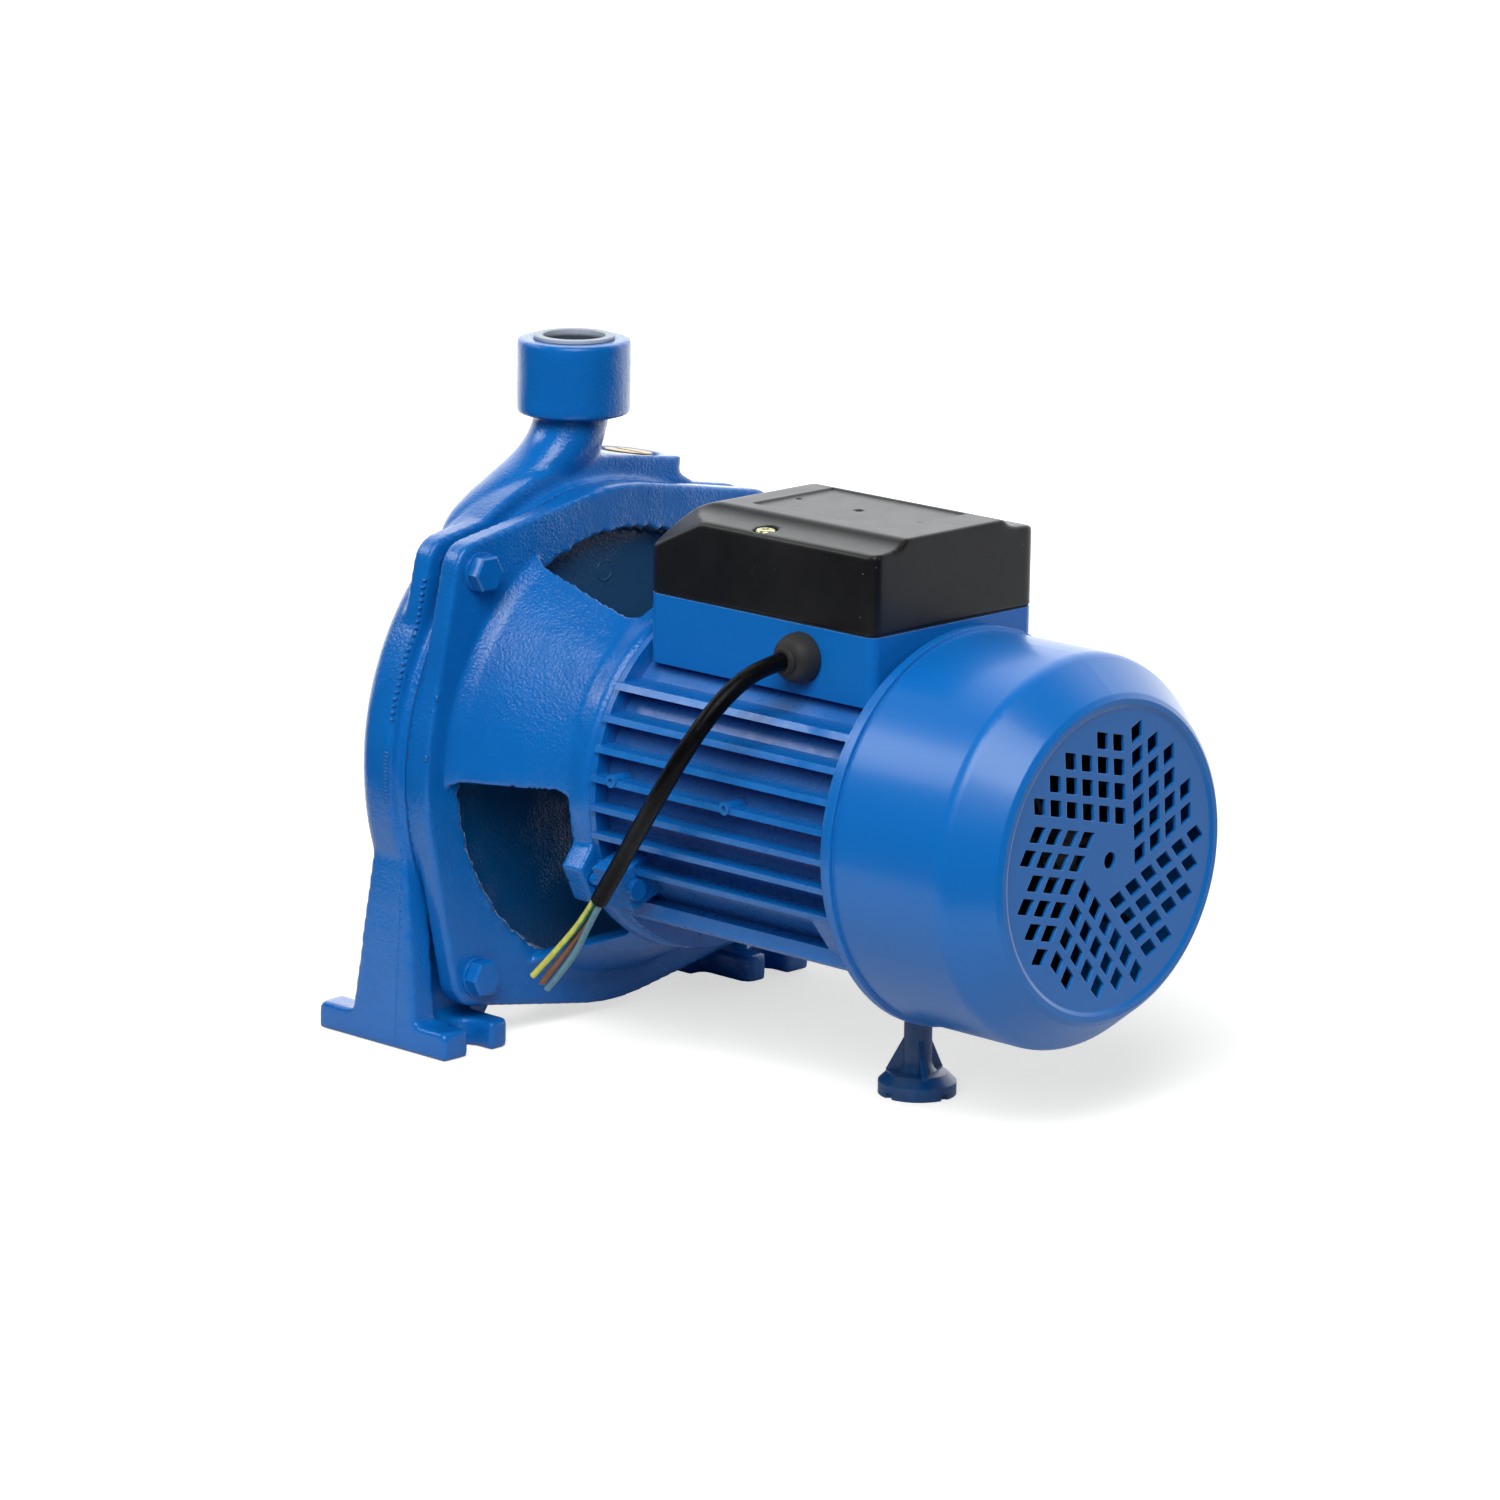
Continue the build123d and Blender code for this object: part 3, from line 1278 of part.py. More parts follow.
with BuildPart() as rear_foot:
    with BuildSketch(Plane(origin=(foot_x, 0, 0), x_dir=(1, 0, 0), z_dir=(0, -1, 0))):
        with BuildLine():
            Polyline((0, 0), (foot_disc_radius, 0), (foot_disc_radius, 5), (11.5, 8.5), (7.2, 9))
            ThreePointArc((7.2, 9), (5.9, 11), (foot_stem_radius, 14))
            Polyline((foot_stem_radius, 14), (foot_stem_radius, foot_pad_z), (0, foot_pad_z), (0, 0))
        make_face()
    revolve(axis=FOOT)
    for angle in rib_angles:
        turn = math.radians(angle)
        rib_plane = Plane(
            origin=(foot_x, 0, 0),
            x_dir=(math.cos(turn), math.sin(turn), 0),
            z_dir=(math.sin(turn), -math.cos(turn), 0),
        )
        with BuildSketch(rib_plane):
            Polygon((0, 7), (12.2, 7), (12.2, 8.6), (foot_stem_radius, 21.5), (0, 21.5), align=None)
        extrude(amount=1.2, both=True)
    with BuildSketch(Plane.XY):
        for angle in notch_angles:
            turn = math.radians(angle)
            with Locations((foot_x + foot_disc_radius * math.cos(turn), foot_disc_radius * math.sin(turn))):
                Circle(1.6)
    extrude(amount=2.2, mode=Mode.SUBTRACT)
    with BuildSketch(Plane.XY):
        with Locations((foot_x, 0)):
            Circle(4.6)
    extrude(amount=8, mode=Mode.SUBTRACT)
    with BuildSketch(Plane.XY):
        with Locations((foot_x, 0)):
            Circle(2.6)
    extrude(amount=60, mode=Mode.SUBTRACT)
rear_foot.part.label = "rear_foot"
export_step(rear_foot.part, "parts/rear_foot.step")

with BuildPart() as rear_foot_screw:
    with BuildSketch(Plane.XY.offset(4)):
        with Locations((foot_x, 0)):
            Circle(4.2)
    extrude(amount=4)
    with BuildSketch(Plane.XY.offset(7)):
        with Locations((foot_x, 0)):
            Circle(2.5)
    extrude(amount=foot_pad_z)
    with BuildSketch(Plane.XY.offset(4)):
        with Locations((foot_x, 0)):
            RegularPolygon(2.0, 6, major_radius=False)
    extrude(amount=2.5, mode=Mode.SUBTRACT)
rear_foot_screw.part.label = "rear_foot_screw"
export_step(rear_foot_screw.part, "parts/rear_foot_screw.step")
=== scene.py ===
"""Looks of the centrifugal water pump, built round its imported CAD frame.

Metres. +X runs along the shaft from the pump to the fan, +Z is up, -Y is the cable side.
"""

import math

import bmesh
import bpy
import numpy as np
from mathutils import Matrix, Vector, noise


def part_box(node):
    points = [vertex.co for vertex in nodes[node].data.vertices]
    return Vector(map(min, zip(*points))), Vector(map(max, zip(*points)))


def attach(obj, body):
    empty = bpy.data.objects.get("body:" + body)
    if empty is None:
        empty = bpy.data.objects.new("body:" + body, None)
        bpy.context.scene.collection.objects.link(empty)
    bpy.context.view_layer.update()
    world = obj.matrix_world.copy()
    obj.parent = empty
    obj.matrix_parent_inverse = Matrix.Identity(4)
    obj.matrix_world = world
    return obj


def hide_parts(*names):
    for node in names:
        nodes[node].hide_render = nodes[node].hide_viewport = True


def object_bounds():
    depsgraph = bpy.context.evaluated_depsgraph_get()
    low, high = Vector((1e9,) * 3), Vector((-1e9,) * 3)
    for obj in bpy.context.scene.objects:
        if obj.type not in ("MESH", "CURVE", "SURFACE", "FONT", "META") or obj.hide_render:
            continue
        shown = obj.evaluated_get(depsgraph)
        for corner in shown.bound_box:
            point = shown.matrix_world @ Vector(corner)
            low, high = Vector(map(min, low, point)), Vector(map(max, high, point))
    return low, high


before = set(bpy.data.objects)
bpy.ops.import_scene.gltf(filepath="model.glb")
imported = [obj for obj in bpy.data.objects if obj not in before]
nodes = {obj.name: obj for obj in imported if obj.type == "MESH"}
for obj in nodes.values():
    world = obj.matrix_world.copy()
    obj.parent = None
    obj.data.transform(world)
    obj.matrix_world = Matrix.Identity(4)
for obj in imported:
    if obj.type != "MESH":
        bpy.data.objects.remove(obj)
cad_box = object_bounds()
scene = bpy.context.scene

MM = 0.001
shaft_z = 108 * MM
sharp_angle = math.radians(35)


# ---- camera ----
camera_azimuth = math.radians(43.41)
camera_elevation = math.radians(13.20)
camera_roll = math.radians(0.875)
camera_distance = 2.6456
camera_target = Vector((0.0978, 0.0, 0.1182))
camera_lens = 164.7


def add_camera():
    """Camera on a sphere round the target, tipped a little about its own line of sight."""
    level = math.cos(camera_elevation)
    back = Vector(
        (
            math.sin(camera_azimuth) * level,
            -math.cos(camera_azimuth) * level,
            math.sin(camera_elevation),
        )
    )
    right = Vector((math.cos(camera_azimuth), math.sin(camera_azimuth), 0))
    up = back.cross(right)
    rolled_right = right * math.cos(camera_roll) + up * math.sin(camera_roll)
    rolled_up = up * math.cos(camera_roll) - right * math.sin(camera_roll)
    camera = bpy.data.objects.new("camera", bpy.data.cameras.new("camera"))
    camera.data.lens = camera_lens
    camera.data.sensor_width = 36
    camera.data.clip_end = 50
    turn = Matrix((rolled_right, rolled_up, back)).transposed()
    camera.matrix_world = Matrix.Translation(camera_target + back * camera_distance) @ turn.to_4x4()
    scene.collection.objects.link(camera)
    scene.camera = camera


add_camera()


# ---- mesh helpers ----
def link_mesh(name, mesh, material=None):
    """New object for a mesh, linked to the scene."""
    piece = bpy.data.objects.new(name, mesh)
    scene.collection.objects.link(piece)
    if material:
        piece.data.materials.append(material)
    return piece


def keep_in_box(built):
    """Pulls what sticks out of the CAD's own box back to its faces."""
    low, high = cad_box
    for vertex in built.verts:
        vertex.co = [min(max(place, low[axis]), high[axis]) for axis, place in enumerate(vertex.co)]


def finish_bmesh(name, built, material=None):
    """Object from a bmesh, shaded smooth but for its sharp edges."""
    bmesh.ops.recalc_face_normals(built, faces=built.faces)
    for face in built.faces:
        face.smooth = True
    for edge in built.edges:
        edge.smooth = len(edge.link_faces) == 2 and edge.calc_face_angle(0) < sharp_angle
    mesh = bpy.data.meshes.new(name)
    built.to_mesh(mesh)
    built.free()
    return link_mesh(name, mesh, material)


def lathe(name, profile, place, segments, material):
    """Closed profile of (distance along, radius) turned about the local Z of the place matrix."""
    built = bmesh.new()
    rings = []
    for along, radius in profile:
        ring = []
        for step in range(segments):
            turn = 2 * math.pi * step / segments
            point = Vector((radius * math.cos(turn), radius * math.sin(turn), along))
            ring.append(built.verts.new(place @ point))
        rings.append(ring)
    for ring, after in zip(rings, rings[1:] + rings[:1]):
        for step in range(segments):
            follow = (step + 1) % segments
            built.faces.new((ring[step], ring[follow], after[follow], after[step]))
    return finish_bmesh(name, built, material)


def frame_at(origin, axis):
    """Matrix whose local Z is the axis and whose origin is the point."""
    turn = Vector(axis).to_track_quat("Z", "Y").to_matrix().to_4x4()
    return Matrix.Translation(Vector(origin)) @ turn


def tube_mesh(name, path, radius, sides, slot_of):
    """Round tube along a path. slot_of(step, side) picks each face's material slot."""
    built = bmesh.new()
    rings = []
    points = [Vector(point) for point in path]
    ahead = (points[1] - points[0]).normalized()
    across = ahead.orthogonal().normalized()
    for step, point in enumerate(points):
        before = points[max(step - 1, 0)]
        after = points[min(step + 1, len(points) - 1)]
        ahead = (after - before).normalized()
        across = (across - ahead * across.dot(ahead)).normalized()
        beside = ahead.cross(across)
        ring = []
        for side in range(sides):
            turn = 2 * math.pi * side / sides
            offset = across * math.cos(turn) + beside * math.sin(turn)
            ring.append(built.verts.new(point + offset * radius))
        rings.append(ring)
    for step, (ring, after) in enumerate(zip(rings, rings[1:])):
        for side in range(sides):
            follow = (side + 1) % sides
            face = built.faces.new((ring[side], ring[follow], after[follow], after[side]))
            face.material_index = slot_of(step, side)
    for ring in (rings[0], rings[-1]):
        built.faces.new(ring)
    return finish_bmesh(name, built)


# ---- materials ----
class Shader:
    """Node tree of one material, in object coordinates, with its Principled node."""

    def __init__(self, name, colour, roughness, metallic=0.0):
        self.material = bpy.data.materials.new(name)
        self.material.use_nodes = True
        self.tree = self.material.node_tree
        self.surface = self.tree.nodes["Principled BSDF"]
        self.surface.inputs["Base Color"].default_value = (*colour, 1)
        self.surface.inputs["Roughness"].default_value = roughness
        self.surface.inputs["Metallic"].default_value = metallic
        self.place = self.node("ShaderNodeTexCoord").outputs["Object"]

    def node(self, kind, **settings):
        made = self.tree.nodes.new(kind)
        for key, value in settings.items():
            setattr(made, key, value)
        return made

    def join(self, source, target):
        self.tree.links.new(source, target)

    def stretched(self, scale):
        """Object coordinates scaled unevenly."""
        mapping = self.node("ShaderNodeMapping")
        mapping.inputs["Scale"].default_value = scale
        self.join(self.place, mapping.inputs["Vector"])
        return mapping.outputs["Vector"]

    def noise(self, size, detail=3.0, roughness=0.55, place=None):
        """Noise whose features are about size metres across."""
        made = self.node("ShaderNodeTexNoise")
        made.inputs["Scale"].default_value = 1 / size
        made.inputs["Detail"].default_value = detail
        made.inputs["Roughness"].default_value = roughness
        self.join(place or self.place, made.inputs["Vector"])
        return made.outputs["Fac"]

    def cells(self, size, place=None):
        """Distance from the middles of cells about size metres across."""
        made = self.node("ShaderNodeTexVoronoi")
        made.inputs["Scale"].default_value = 1 / size
        self.join(place or self.place, made.inputs["Vector"])
        return made.outputs["Distance"]

    def remap(self, source, low, high, to_low=0.0, to_high=1.0):
        """Source brought from low-high to to_low-to_high, and kept inside it."""
        made = self.node("ShaderNodeMapRange")
        made.inputs["From Min"].default_value = low
        made.inputs["From Max"].default_value = high
        made.inputs["To Min"].default_value = to_low
        made.inputs["To Max"].default_value = to_high
        self.join(source, made.inputs["Value"])
        return made.outputs["Result"]

    def math(self, operation, first, second=None):
        """Result of a sum on numbers or sockets."""
        made = self.node("ShaderNodeMath", operation=operation)
        for socket, value in zip(made.inputs, (first, second)):
            if value is None:
                continue
            if isinstance(value, (int, float)):
                socket.default_value = value
            else:
                self.join(value, socket)
        return made.outputs["Value"]

    def mix(self, factor, first, second):
        """Colour between two, each a colour or a socket."""
        made = self.node("ShaderNodeMix", data_type="RGBA")
        self.join(factor, made.inputs["Factor"])
        for socket, value in ((made.inputs[6], first), (made.inputs[7], second)):
            if isinstance(value, tuple):
                socket.default_value = (*value, 1)
            else:
                self.join(value, socket)
        return made.outputs[2]

    def edges(self, radius):
        """Mask that is 1 on sharp edges, and the normal rounded by the radius."""
        bevel = self.node("ShaderNodeBevel", samples=4)
        bevel.inputs["Radius"].default_value = radius
        geometry = self.node("ShaderNodeNewGeometry")
        dot = self.node("ShaderNodeVectorMath", operation="DOT_PRODUCT")
        self.join(bevel.outputs["Normal"], dot.inputs[0])
        self.join(geometry.outputs["Normal"], dot.inputs[1])
        return self.remap(dot.outputs["Value"], 0.985, 0.80), bevel.outputs["Normal"]

    def bump(self, height, distance, normal=None):
        """Normal of a surface raised by distance metres where the height is 1."""
        made = self.node("ShaderNodeBump")
        made.inputs["Strength"].default_value = 1.0
        made.inputs["Distance"].default_value = distance
        self.join(height, made.inputs["Height"])
        if normal is not None:
            self.join(normal, made.inputs["Normal"])
        return made.outputs["Normal"]

    def shaft_place(self):
        """Distance along the shaft, height above the base, and distance from the shaft's axis."""
        parts = self.node("ShaderNodeSeparateXYZ")
        self.join(self.place, parts.inputs[0])
        x, y, z = (parts.outputs[axis] for axis in "XYZ")
        side = self.math("POWER", y, 2.0)
        rise = self.math("POWER", self.math("SUBTRACT", z, shaft_z), 2.0)
        return x, z, self.math("SQRT", self.math("ADD", side, rise))

    def finish(self, colour=None, roughness=None, normal=None, **constants):
        """Joins what varies to the surface, sets what doesn't, and gives the material."""
        for socket, value in (("Base Color", colour), ("Roughness", roughness), ("Normal", normal)):
            if value is not None:
                self.join(value, self.surface.inputs[socket])
        for key, value in constants.items():
            self.surface.inputs[key.replace("_", " ")].default_value = value
        return self.material


blue = (0.003, 0.135, 0.470)
pale_wear_glint_blue = (0.060, 0.250, 0.610)
blue_deep = (0.002, 0.085, 0.330)
grime_grey = (0.105, 0.125, 0.165)
speck_blue = (0.02, 0.05, 0.10)
# Inside of the bracket's cone: its radius where it starts, and how fast that shrinks along the shaft.
cone_start_x = 30 * MM
cone_inner_radius = 85.0 * MM
cone_taper = 0.4625


def bracket_hollow_shade(shader, colour):
    """Painted shade inside the bracket's cone: a much darker blue, greyer near the top and darker towards
    the bottom.
    """
    x, z, radius = shader.shaft_place()
    narrowing = shader.math("MULTIPLY", shader.math("SUBTRACT", x, cone_start_x), cone_taper)
    reach = shader.math("ADD", radius, narrowing)
    inside = shader.remap(reach, cone_inner_radius + 1.5 * MM, cone_inner_radius - 1.5 * MM)
    behind = shader.remap(x, 17.0 * MM, 18.5 * MM)
    shade_mask = shader.math("MULTIPLY", inside, behind)
    # Painted shade, darker towards the bottom of the cone.
    low = shader.remap(z, 150 * MM, 95 * MM)
    thin = shader.mix(low, (0.020, 0.075, 0.180), (0.001, 0.055, 0.175))
    return shader.mix(shade_mask, colour, thin)


def enamel(
    name,
    peel,
    peel_depth,
    gloss,
    edge_radius=0.7 * MM,
    edge_tone=0.3,
    uneven=1.0,
    dust=0.0,
    shade=blue,
    hollow_shade=False,
):
    """Blue gloss enamel.

    peel and peel_depth are the size and depth of its orange-peel bumps. gloss is its roughness, uneven how
    much tone and gloss drift, edge_tone how pale its edges are (worn paint, and a painted highlight on thin
    rims), and dust how much dirt lies in it.
    """
    shader = Shader(name, shade, gloss)
    edge, rounded = shader.edges(edge_radius)
    drift = shader.remap(shader.noise(45 * MM, 4), 0.35, 0.68, 1 - 0.5 * uneven, 1.0)
    colour = shader.mix(drift, blue_deep, shade)
    # Pale edges: worn paint, and a painted highlight where the edge tone is high.
    wear_and_glint = shader.remap(shader.noise(6 * MM), 0.35, 0.62, 0.1, edge_tone)
    colour = shader.mix(shader.math("MULTIPLY", edge, wear_and_glint), colour, pale_wear_glint_blue)
    # Painted shade inside the bracket's cone.
    if hollow_shade:
        colour = bracket_hollow_shade(shader, colour)
    if dust > 0:
        grime = shader.remap(shader.noise(14 * MM, 6, 0.65), 0.42, 0.72, 0, dust)
        colour = shader.mix(grime, colour, grime_grey)
    specks = shader.remap(shader.cells(5.5 * MM), 0.045, 0.03)
    rare = shader.remap(shader.noise(9 * MM), 0.56, 0.60)
    specks = shader.math("MULTIPLY", specks, rare)
    colour = shader.mix(shader.math("MULTIPLY", specks, 0.5), colour, speck_blue)
    spread = 0.06 * uneven
    sheen = shader.noise(7 * MM, 5, 0.6)
    roughness = shader.remap(sheen, 0.3, 0.7, gloss - 0.6 * spread, gloss + spread)
    coarse = shader.noise(peel, 2.5, 0.5)
    fine = shader.noise(peel * 0.4, 2, 0.5)
    height = shader.math("ADD", coarse, shader.math("MULTIPLY", fine, 0.3))
    patches = shader.remap(shader.noise(28 * MM, 2), 0.38, 0.62, 0.35, 1.3)
    height = shader.math("MULTIPLY", height, patches)
    height = shader.math("ADD", height, shader.math("MULTIPLY", specks, 0.6))
    normal = shader.bump(height, peel_depth, rounded)
    return shader.finish(colour, roughness, normal, Coat_Weight=0.1, Coat_Roughness=0.1)


def motor_enamel(name):
    """Enamel of the finned frame: thinner on the barrel between the fins, paler on the fins' tips as worn
    paint and a painted highlight.
    """
    shader = Shader(name, blue, 0.34)
    _, _, radius = shader.shaft_place()
    barrel = shader.remap(radius, 66.5 * MM, 63.5 * MM)
    tips = shader.remap(radius, 71.2 * MM, 71.9 * MM)
    drift = shader.remap(shader.noise(40 * MM, 2, 0.4), 0.32, 0.68, 0.6, 1.0)
    colour = shader.mix(drift, blue_deep, (0.003, 0.130, 0.450))
    patches = shader.remap(shader.noise(20 * MM, 3), 0.3, 0.62, 0.35, 0.7)
    colour = shader.mix(shader.math("MULTIPLY", barrel, patches), colour, (0.040, 0.130, 0.375))
    # Pale fin tips: worn paint and a painted highlight along the tips.
    wear_and_glint = shader.remap(shader.noise(8 * MM), 0.3, 0.6, 0.0, 0.2)
    colour = shader.mix(shader.math("MULTIPLY", tips, wear_and_glint), colour, pale_wear_glint_blue)
    roughness = shader.remap(shader.noise(5 * MM, 4), 0.3, 0.7, 0.22, 0.38)
    normal = shader.bump(shader.math("MULTIPLY", shader.noise(1.1 * MM, 3), barrel), 0.030 * MM)
    return shader.finish(colour, roughness, normal, Coat_Weight=0.1, Coat_Roughness=0.2)


def moulded(name, colour, roughness, grain, grain_depth, dust=0.15, **constants):
    """Moulded plastic or rubber with a fine grain and specks of dust."""
    shader = Shader(name, colour, roughness)
    edge, rounded = shader.edges(0.6 * MM)
    lighter = tuple(min(1.0, part * 1.7 + 0.012) for part in colour)
    tone = shader.mix(shader.remap(shader.noise(30 * MM, 4), 0.3, 0.7, 0, 0.5), colour, lighter)
    tone = shader.mix(shader.math("MULTIPLY", edge, 0.55), tone, lighter)
    specks = shader.remap(shader.cells(2.6 * MM), 0.075, 0.05)
    patches = shader.remap(shader.noise(13 * MM, 3), 0.54, 0.64)
    specks = shader.math("MULTIPLY", shader.math("MULTIPLY", specks, patches), dust * 3)
    tone = shader.mix(specks, tone, (0.42, 0.42, 0.42))
    level = shader.remap(shader.noise(9 * MM, 4, 0.5), 0.35, 0.68, roughness - 0.01, roughness + 0.02)
    normal = shader.bump(shader.noise(grain, 3, 0.6), grain_depth, rounded)
    return shader.finish(tone, level, normal, **constants)


def protector_plastic(name):
    """Pale plastic, thin enough below its lip to let light through."""
    shader = Shader(name, (0.50, 0.54, 0.54), 0.4)
    parts = shader.node("ShaderNodeSeparateXYZ")
    shader.join(shader.place, parts.inputs[0])
    thin = shader.remap(parts.outputs["Z"], 266.6 * MM, 265.2 * MM, 0.05, 0.88)
    shader.join(thin, shader.surface.inputs["Transmission Weight"])
    tone = shader.mix(shader.noise(5 * MM, 4), (0.30, 0.35, 0.43), (0.38, 0.43, 0.50))
    normal = shader.bump(shader.noise(1.0 * MM, 3), 0.015 * MM)
    return shader.finish(tone, None, normal, IOR=1.3)


def cable_sheath_material():
    """Satin black sheath, faintly scratched along its length, with a soft bloom."""
    shader = Shader("cable_sheath", (0.004, 0.004, 0.005), 0.36)
    bloom = shader.remap(shader.noise(9 * MM, 4, 0.6), 0.42, 0.75, 0, 0.6)
    tone = shader.mix(bloom, (0.0018, 0.0019, 0.0024), (0.005, 0.005, 0.006))
    scratch = shader.remap(shader.cells(3.2 * MM, place=shader.stretched((1, 1, 0.12))), 0.05, 0.015)
    tone = shader.mix(shader.math("MULTIPLY", scratch, 0.4), tone, (0.12, 0.12, 0.12))
    level = shader.remap(shader.noise(2 * MM, 4), 0.3, 0.7, 0.27, 0.46)
    normal = shader.bump(shader.noise(0.8 * MM, 3), 0.03 * MM)
    return shader.finish(tone, level, normal, Specular_IOR_Level=0.11)


def insulation(name, colour):
    """Glossy PVC of a core, a little uneven in tone."""
    shader = Shader(name, colour, 0.33)
    darker = tuple(part * 0.7 for part in colour)
    tone = shader.mix(shader.remap(shader.noise(4 * MM, 3), 0.35, 0.7), colour, darker)
    normal = shader.bump(shader.noise(0.6 * MM, 2), 0.02 * MM)
    return shader.finish(tone, None, normal, Subsurface_Weight=0.05)


def metal(name, colour, roughness, brush=(1, 1, 1), stain=None):
    """Bare or plated metal with stains, its brush lines along the small parts of brush."""
    shader = Shader(name, colour, roughness, metallic=1.0)
    _, rounded = shader.edges(0.4 * MM)
    stained = stain or tuple(part * 0.6 for part in colour)
    tone = shader.mix(shader.remap(shader.noise(2.5 * MM, 6, 0.65), 0.42, 0.66), colour, stained)
    lines = shader.noise(0.5 * MM, 3, 0.6, shader.stretched(brush))
    level = shader.remap(lines, 0.3, 0.7, max(roughness - 0.08, 0.08), roughness + 0.12)
    normal = shader.bump(lines, 0.02 * MM, rounded)
    return shader.finish(tone, level, normal)


def rough_cast(name, colour, roughness, metallic, grain, depth):
    """Unpainted casting, fibre or ceramic with a grain of its own."""
    shader = Shader(name, colour, roughness, metallic)
    darker = tuple(part * 0.55 for part in colour)
    tone = shader.mix(shader.remap(shader.noise(grain * 6, 5, 0.6), 0.35, 0.7), colour, darker)
    level = shader.remap(shader.noise(grain * 3, 3), 0.3, 0.7, roughness - 0.08, roughness + 0.1)
    normal = shader.bump(shader.noise(grain, 4), depth)
    return shader.finish(tone, level, normal)


def laminated(name):
    """Stacked electrical steel: half-millimetre sheets along the shaft."""
    shader = Shader(name, (0.30, 0.29, 0.28), 0.45, 0.85)
    sheets = shader.node("ShaderNodeTexWave", wave_type="BANDS", bands_direction="X")
    sheets.inputs["Scale"].default_value = 314
    shader.join(shader.place, sheets.inputs["Vector"])
    tone = shader.mix(sheets.outputs["Fac"], (0.16, 0.15, 0.15), (0.36, 0.35, 0.34))
    rust = shader.remap(shader.noise(8 * MM, 5), 0.58, 0.75, 0, 0.6)
    tone = shader.mix(rust, tone, (0.16, 0.07, 0.03))
    return shader.finish(tone, None, shader.bump(sheets.outputs["Fac"], 0.1 * MM))


def wound(name):
    """Varnished copper wire wound round the stator, seen as fine turns."""
    shader = Shader(name, (0.45, 0.16, 0.05), 0.3, 0.7)
    turns = shader.node("ShaderNodeTexWave", wave_type="RINGS", rings_direction="X")
    turns.inputs["Scale"].default_value = 260
    turns.inputs["Distortion"].default_value = 1.5
    shader.join(shader.place, turns.inputs["Vector"])
    tone = shader.mix(turns.outputs["Fac"], (0.20, 0.06, 0.02), (0.62, 0.25, 0.08))
    return shader.finish(tone, None, shader.bump(turns.outputs["Fac"], 0.3 * MM), Coat_Weight=0.6)


cast_blue = enamel("cast_blue", 1.2 * MM, 0.27 * MM, gloss=0.16, edge_radius=0.9 * MM)
# The bracket's enamel has painted shade inside its cone.
bracket_blue = enamel(
    "bracket_blue",
    1.2 * MM,
    0.27 * MM,
    gloss=0.18,
    edge_radius=0.6 * MM,
    edge_tone=0.12,
    hollow_shade=True,
)
# Its full edge tone is partly a painted highlight on thin rims, such as those of the fan cover's holes.
smooth_blue = enamel(
    "smooth_blue",
    3.0 * MM,
    0.004 * MM,
    gloss=0.29,
    edge_radius=0.5 * MM,
    edge_tone=1.0,
    uneven=0.2,
)
bolt_blue = enamel("bolt_blue", 1.4 * MM, 0.04 * MM, gloss=0.17, edge_radius=0.5 * MM)
# A much darker copy of the blue enamel: painted shade for the foot under the motor, with dust on top.
shaded_foot_blue = enamel("shaded_foot_blue", 1.8 * MM, 0.05 * MM, gloss=0.36, dust=0.45, shade=(0.002, 0.045, 0.130))
fin_blue = motor_enamel("fin_blue")
lid_black = moulded(
    "lid_black",
    (0.0045, 0.0045, 0.005),
    0.38,
    0.55 * MM,
    0.018 * MM,
    dust=0.3,
    Specular_IOR_Level=0.45,
)
rubber_black = moulded("rubber_black", (0.012, 0.012, 0.012), 0.62, 0.9 * MM, 0.05 * MM, dust=0.1)
nylon_dark = moulded("nylon_dark", (0.008, 0.009, 0.010), 0.5, 0.8 * MM, 0.03 * MM)
pale_plastic = protector_plastic("pale_plastic")
grey_plastic = moulded("grey_plastic", (0.30, 0.30, 0.29), 0.45, 1.0 * MM, 0.02 * MM)
sheath_black = cable_sheath_material()
earth_yellow = insulation("earth_yellow", (0.62, 0.60, 0.09))
earth_green = insulation("earth_green", (0.045, 0.30, 0.13))
live_brown = insulation("live_brown", (0.20, 0.085, 0.045))
neutral_blue = insulation("neutral_blue", (0.10, 0.25, 0.33))
brass = metal("brass", (0.46, 0.34, 0.17), 0.38, stain=(0.50, 0.42, 0.30))
zinc_yellow = metal("zinc_yellow", (0.88, 0.72, 0.36), 0.28, stain=(0.52, 0.66, 0.42))
zinc_steel = metal("zinc_steel", (0.62, 0.63, 0.64), 0.32)
polished_steel = metal("polished_steel", (0.66, 0.66, 0.67), 0.20, brush=(1, 0.1, 0.1))
dull_steel = metal("dull_steel", (0.10, 0.10, 0.105), 0.5)
copper = metal("copper", (0.90, 0.42, 0.24), 0.32)
aluminium = rough_cast("aluminium", (0.60, 0.60, 0.61), 0.42, 0.95, 1.2 * MM, 0.05 * MM)
shield_dark = rough_cast("shield_dark", (0.030, 0.032, 0.035), 0.6, 0.2, 1.2 * MM, 0.05 * MM)
gasket_fibre = rough_cast("gasket_fibre", (0.055, 0.060, 0.055), 0.85, 0.0, 0.5 * MM, 0.06 * MM)
seal_ceramic = rough_cast("seal_ceramic", (0.72, 0.70, 0.66), 0.25, 0.0, 0.4 * MM, 0.01 * MM)
lamination_steel = laminated("lamination_steel")
copper_winding = wound("copper_winding")

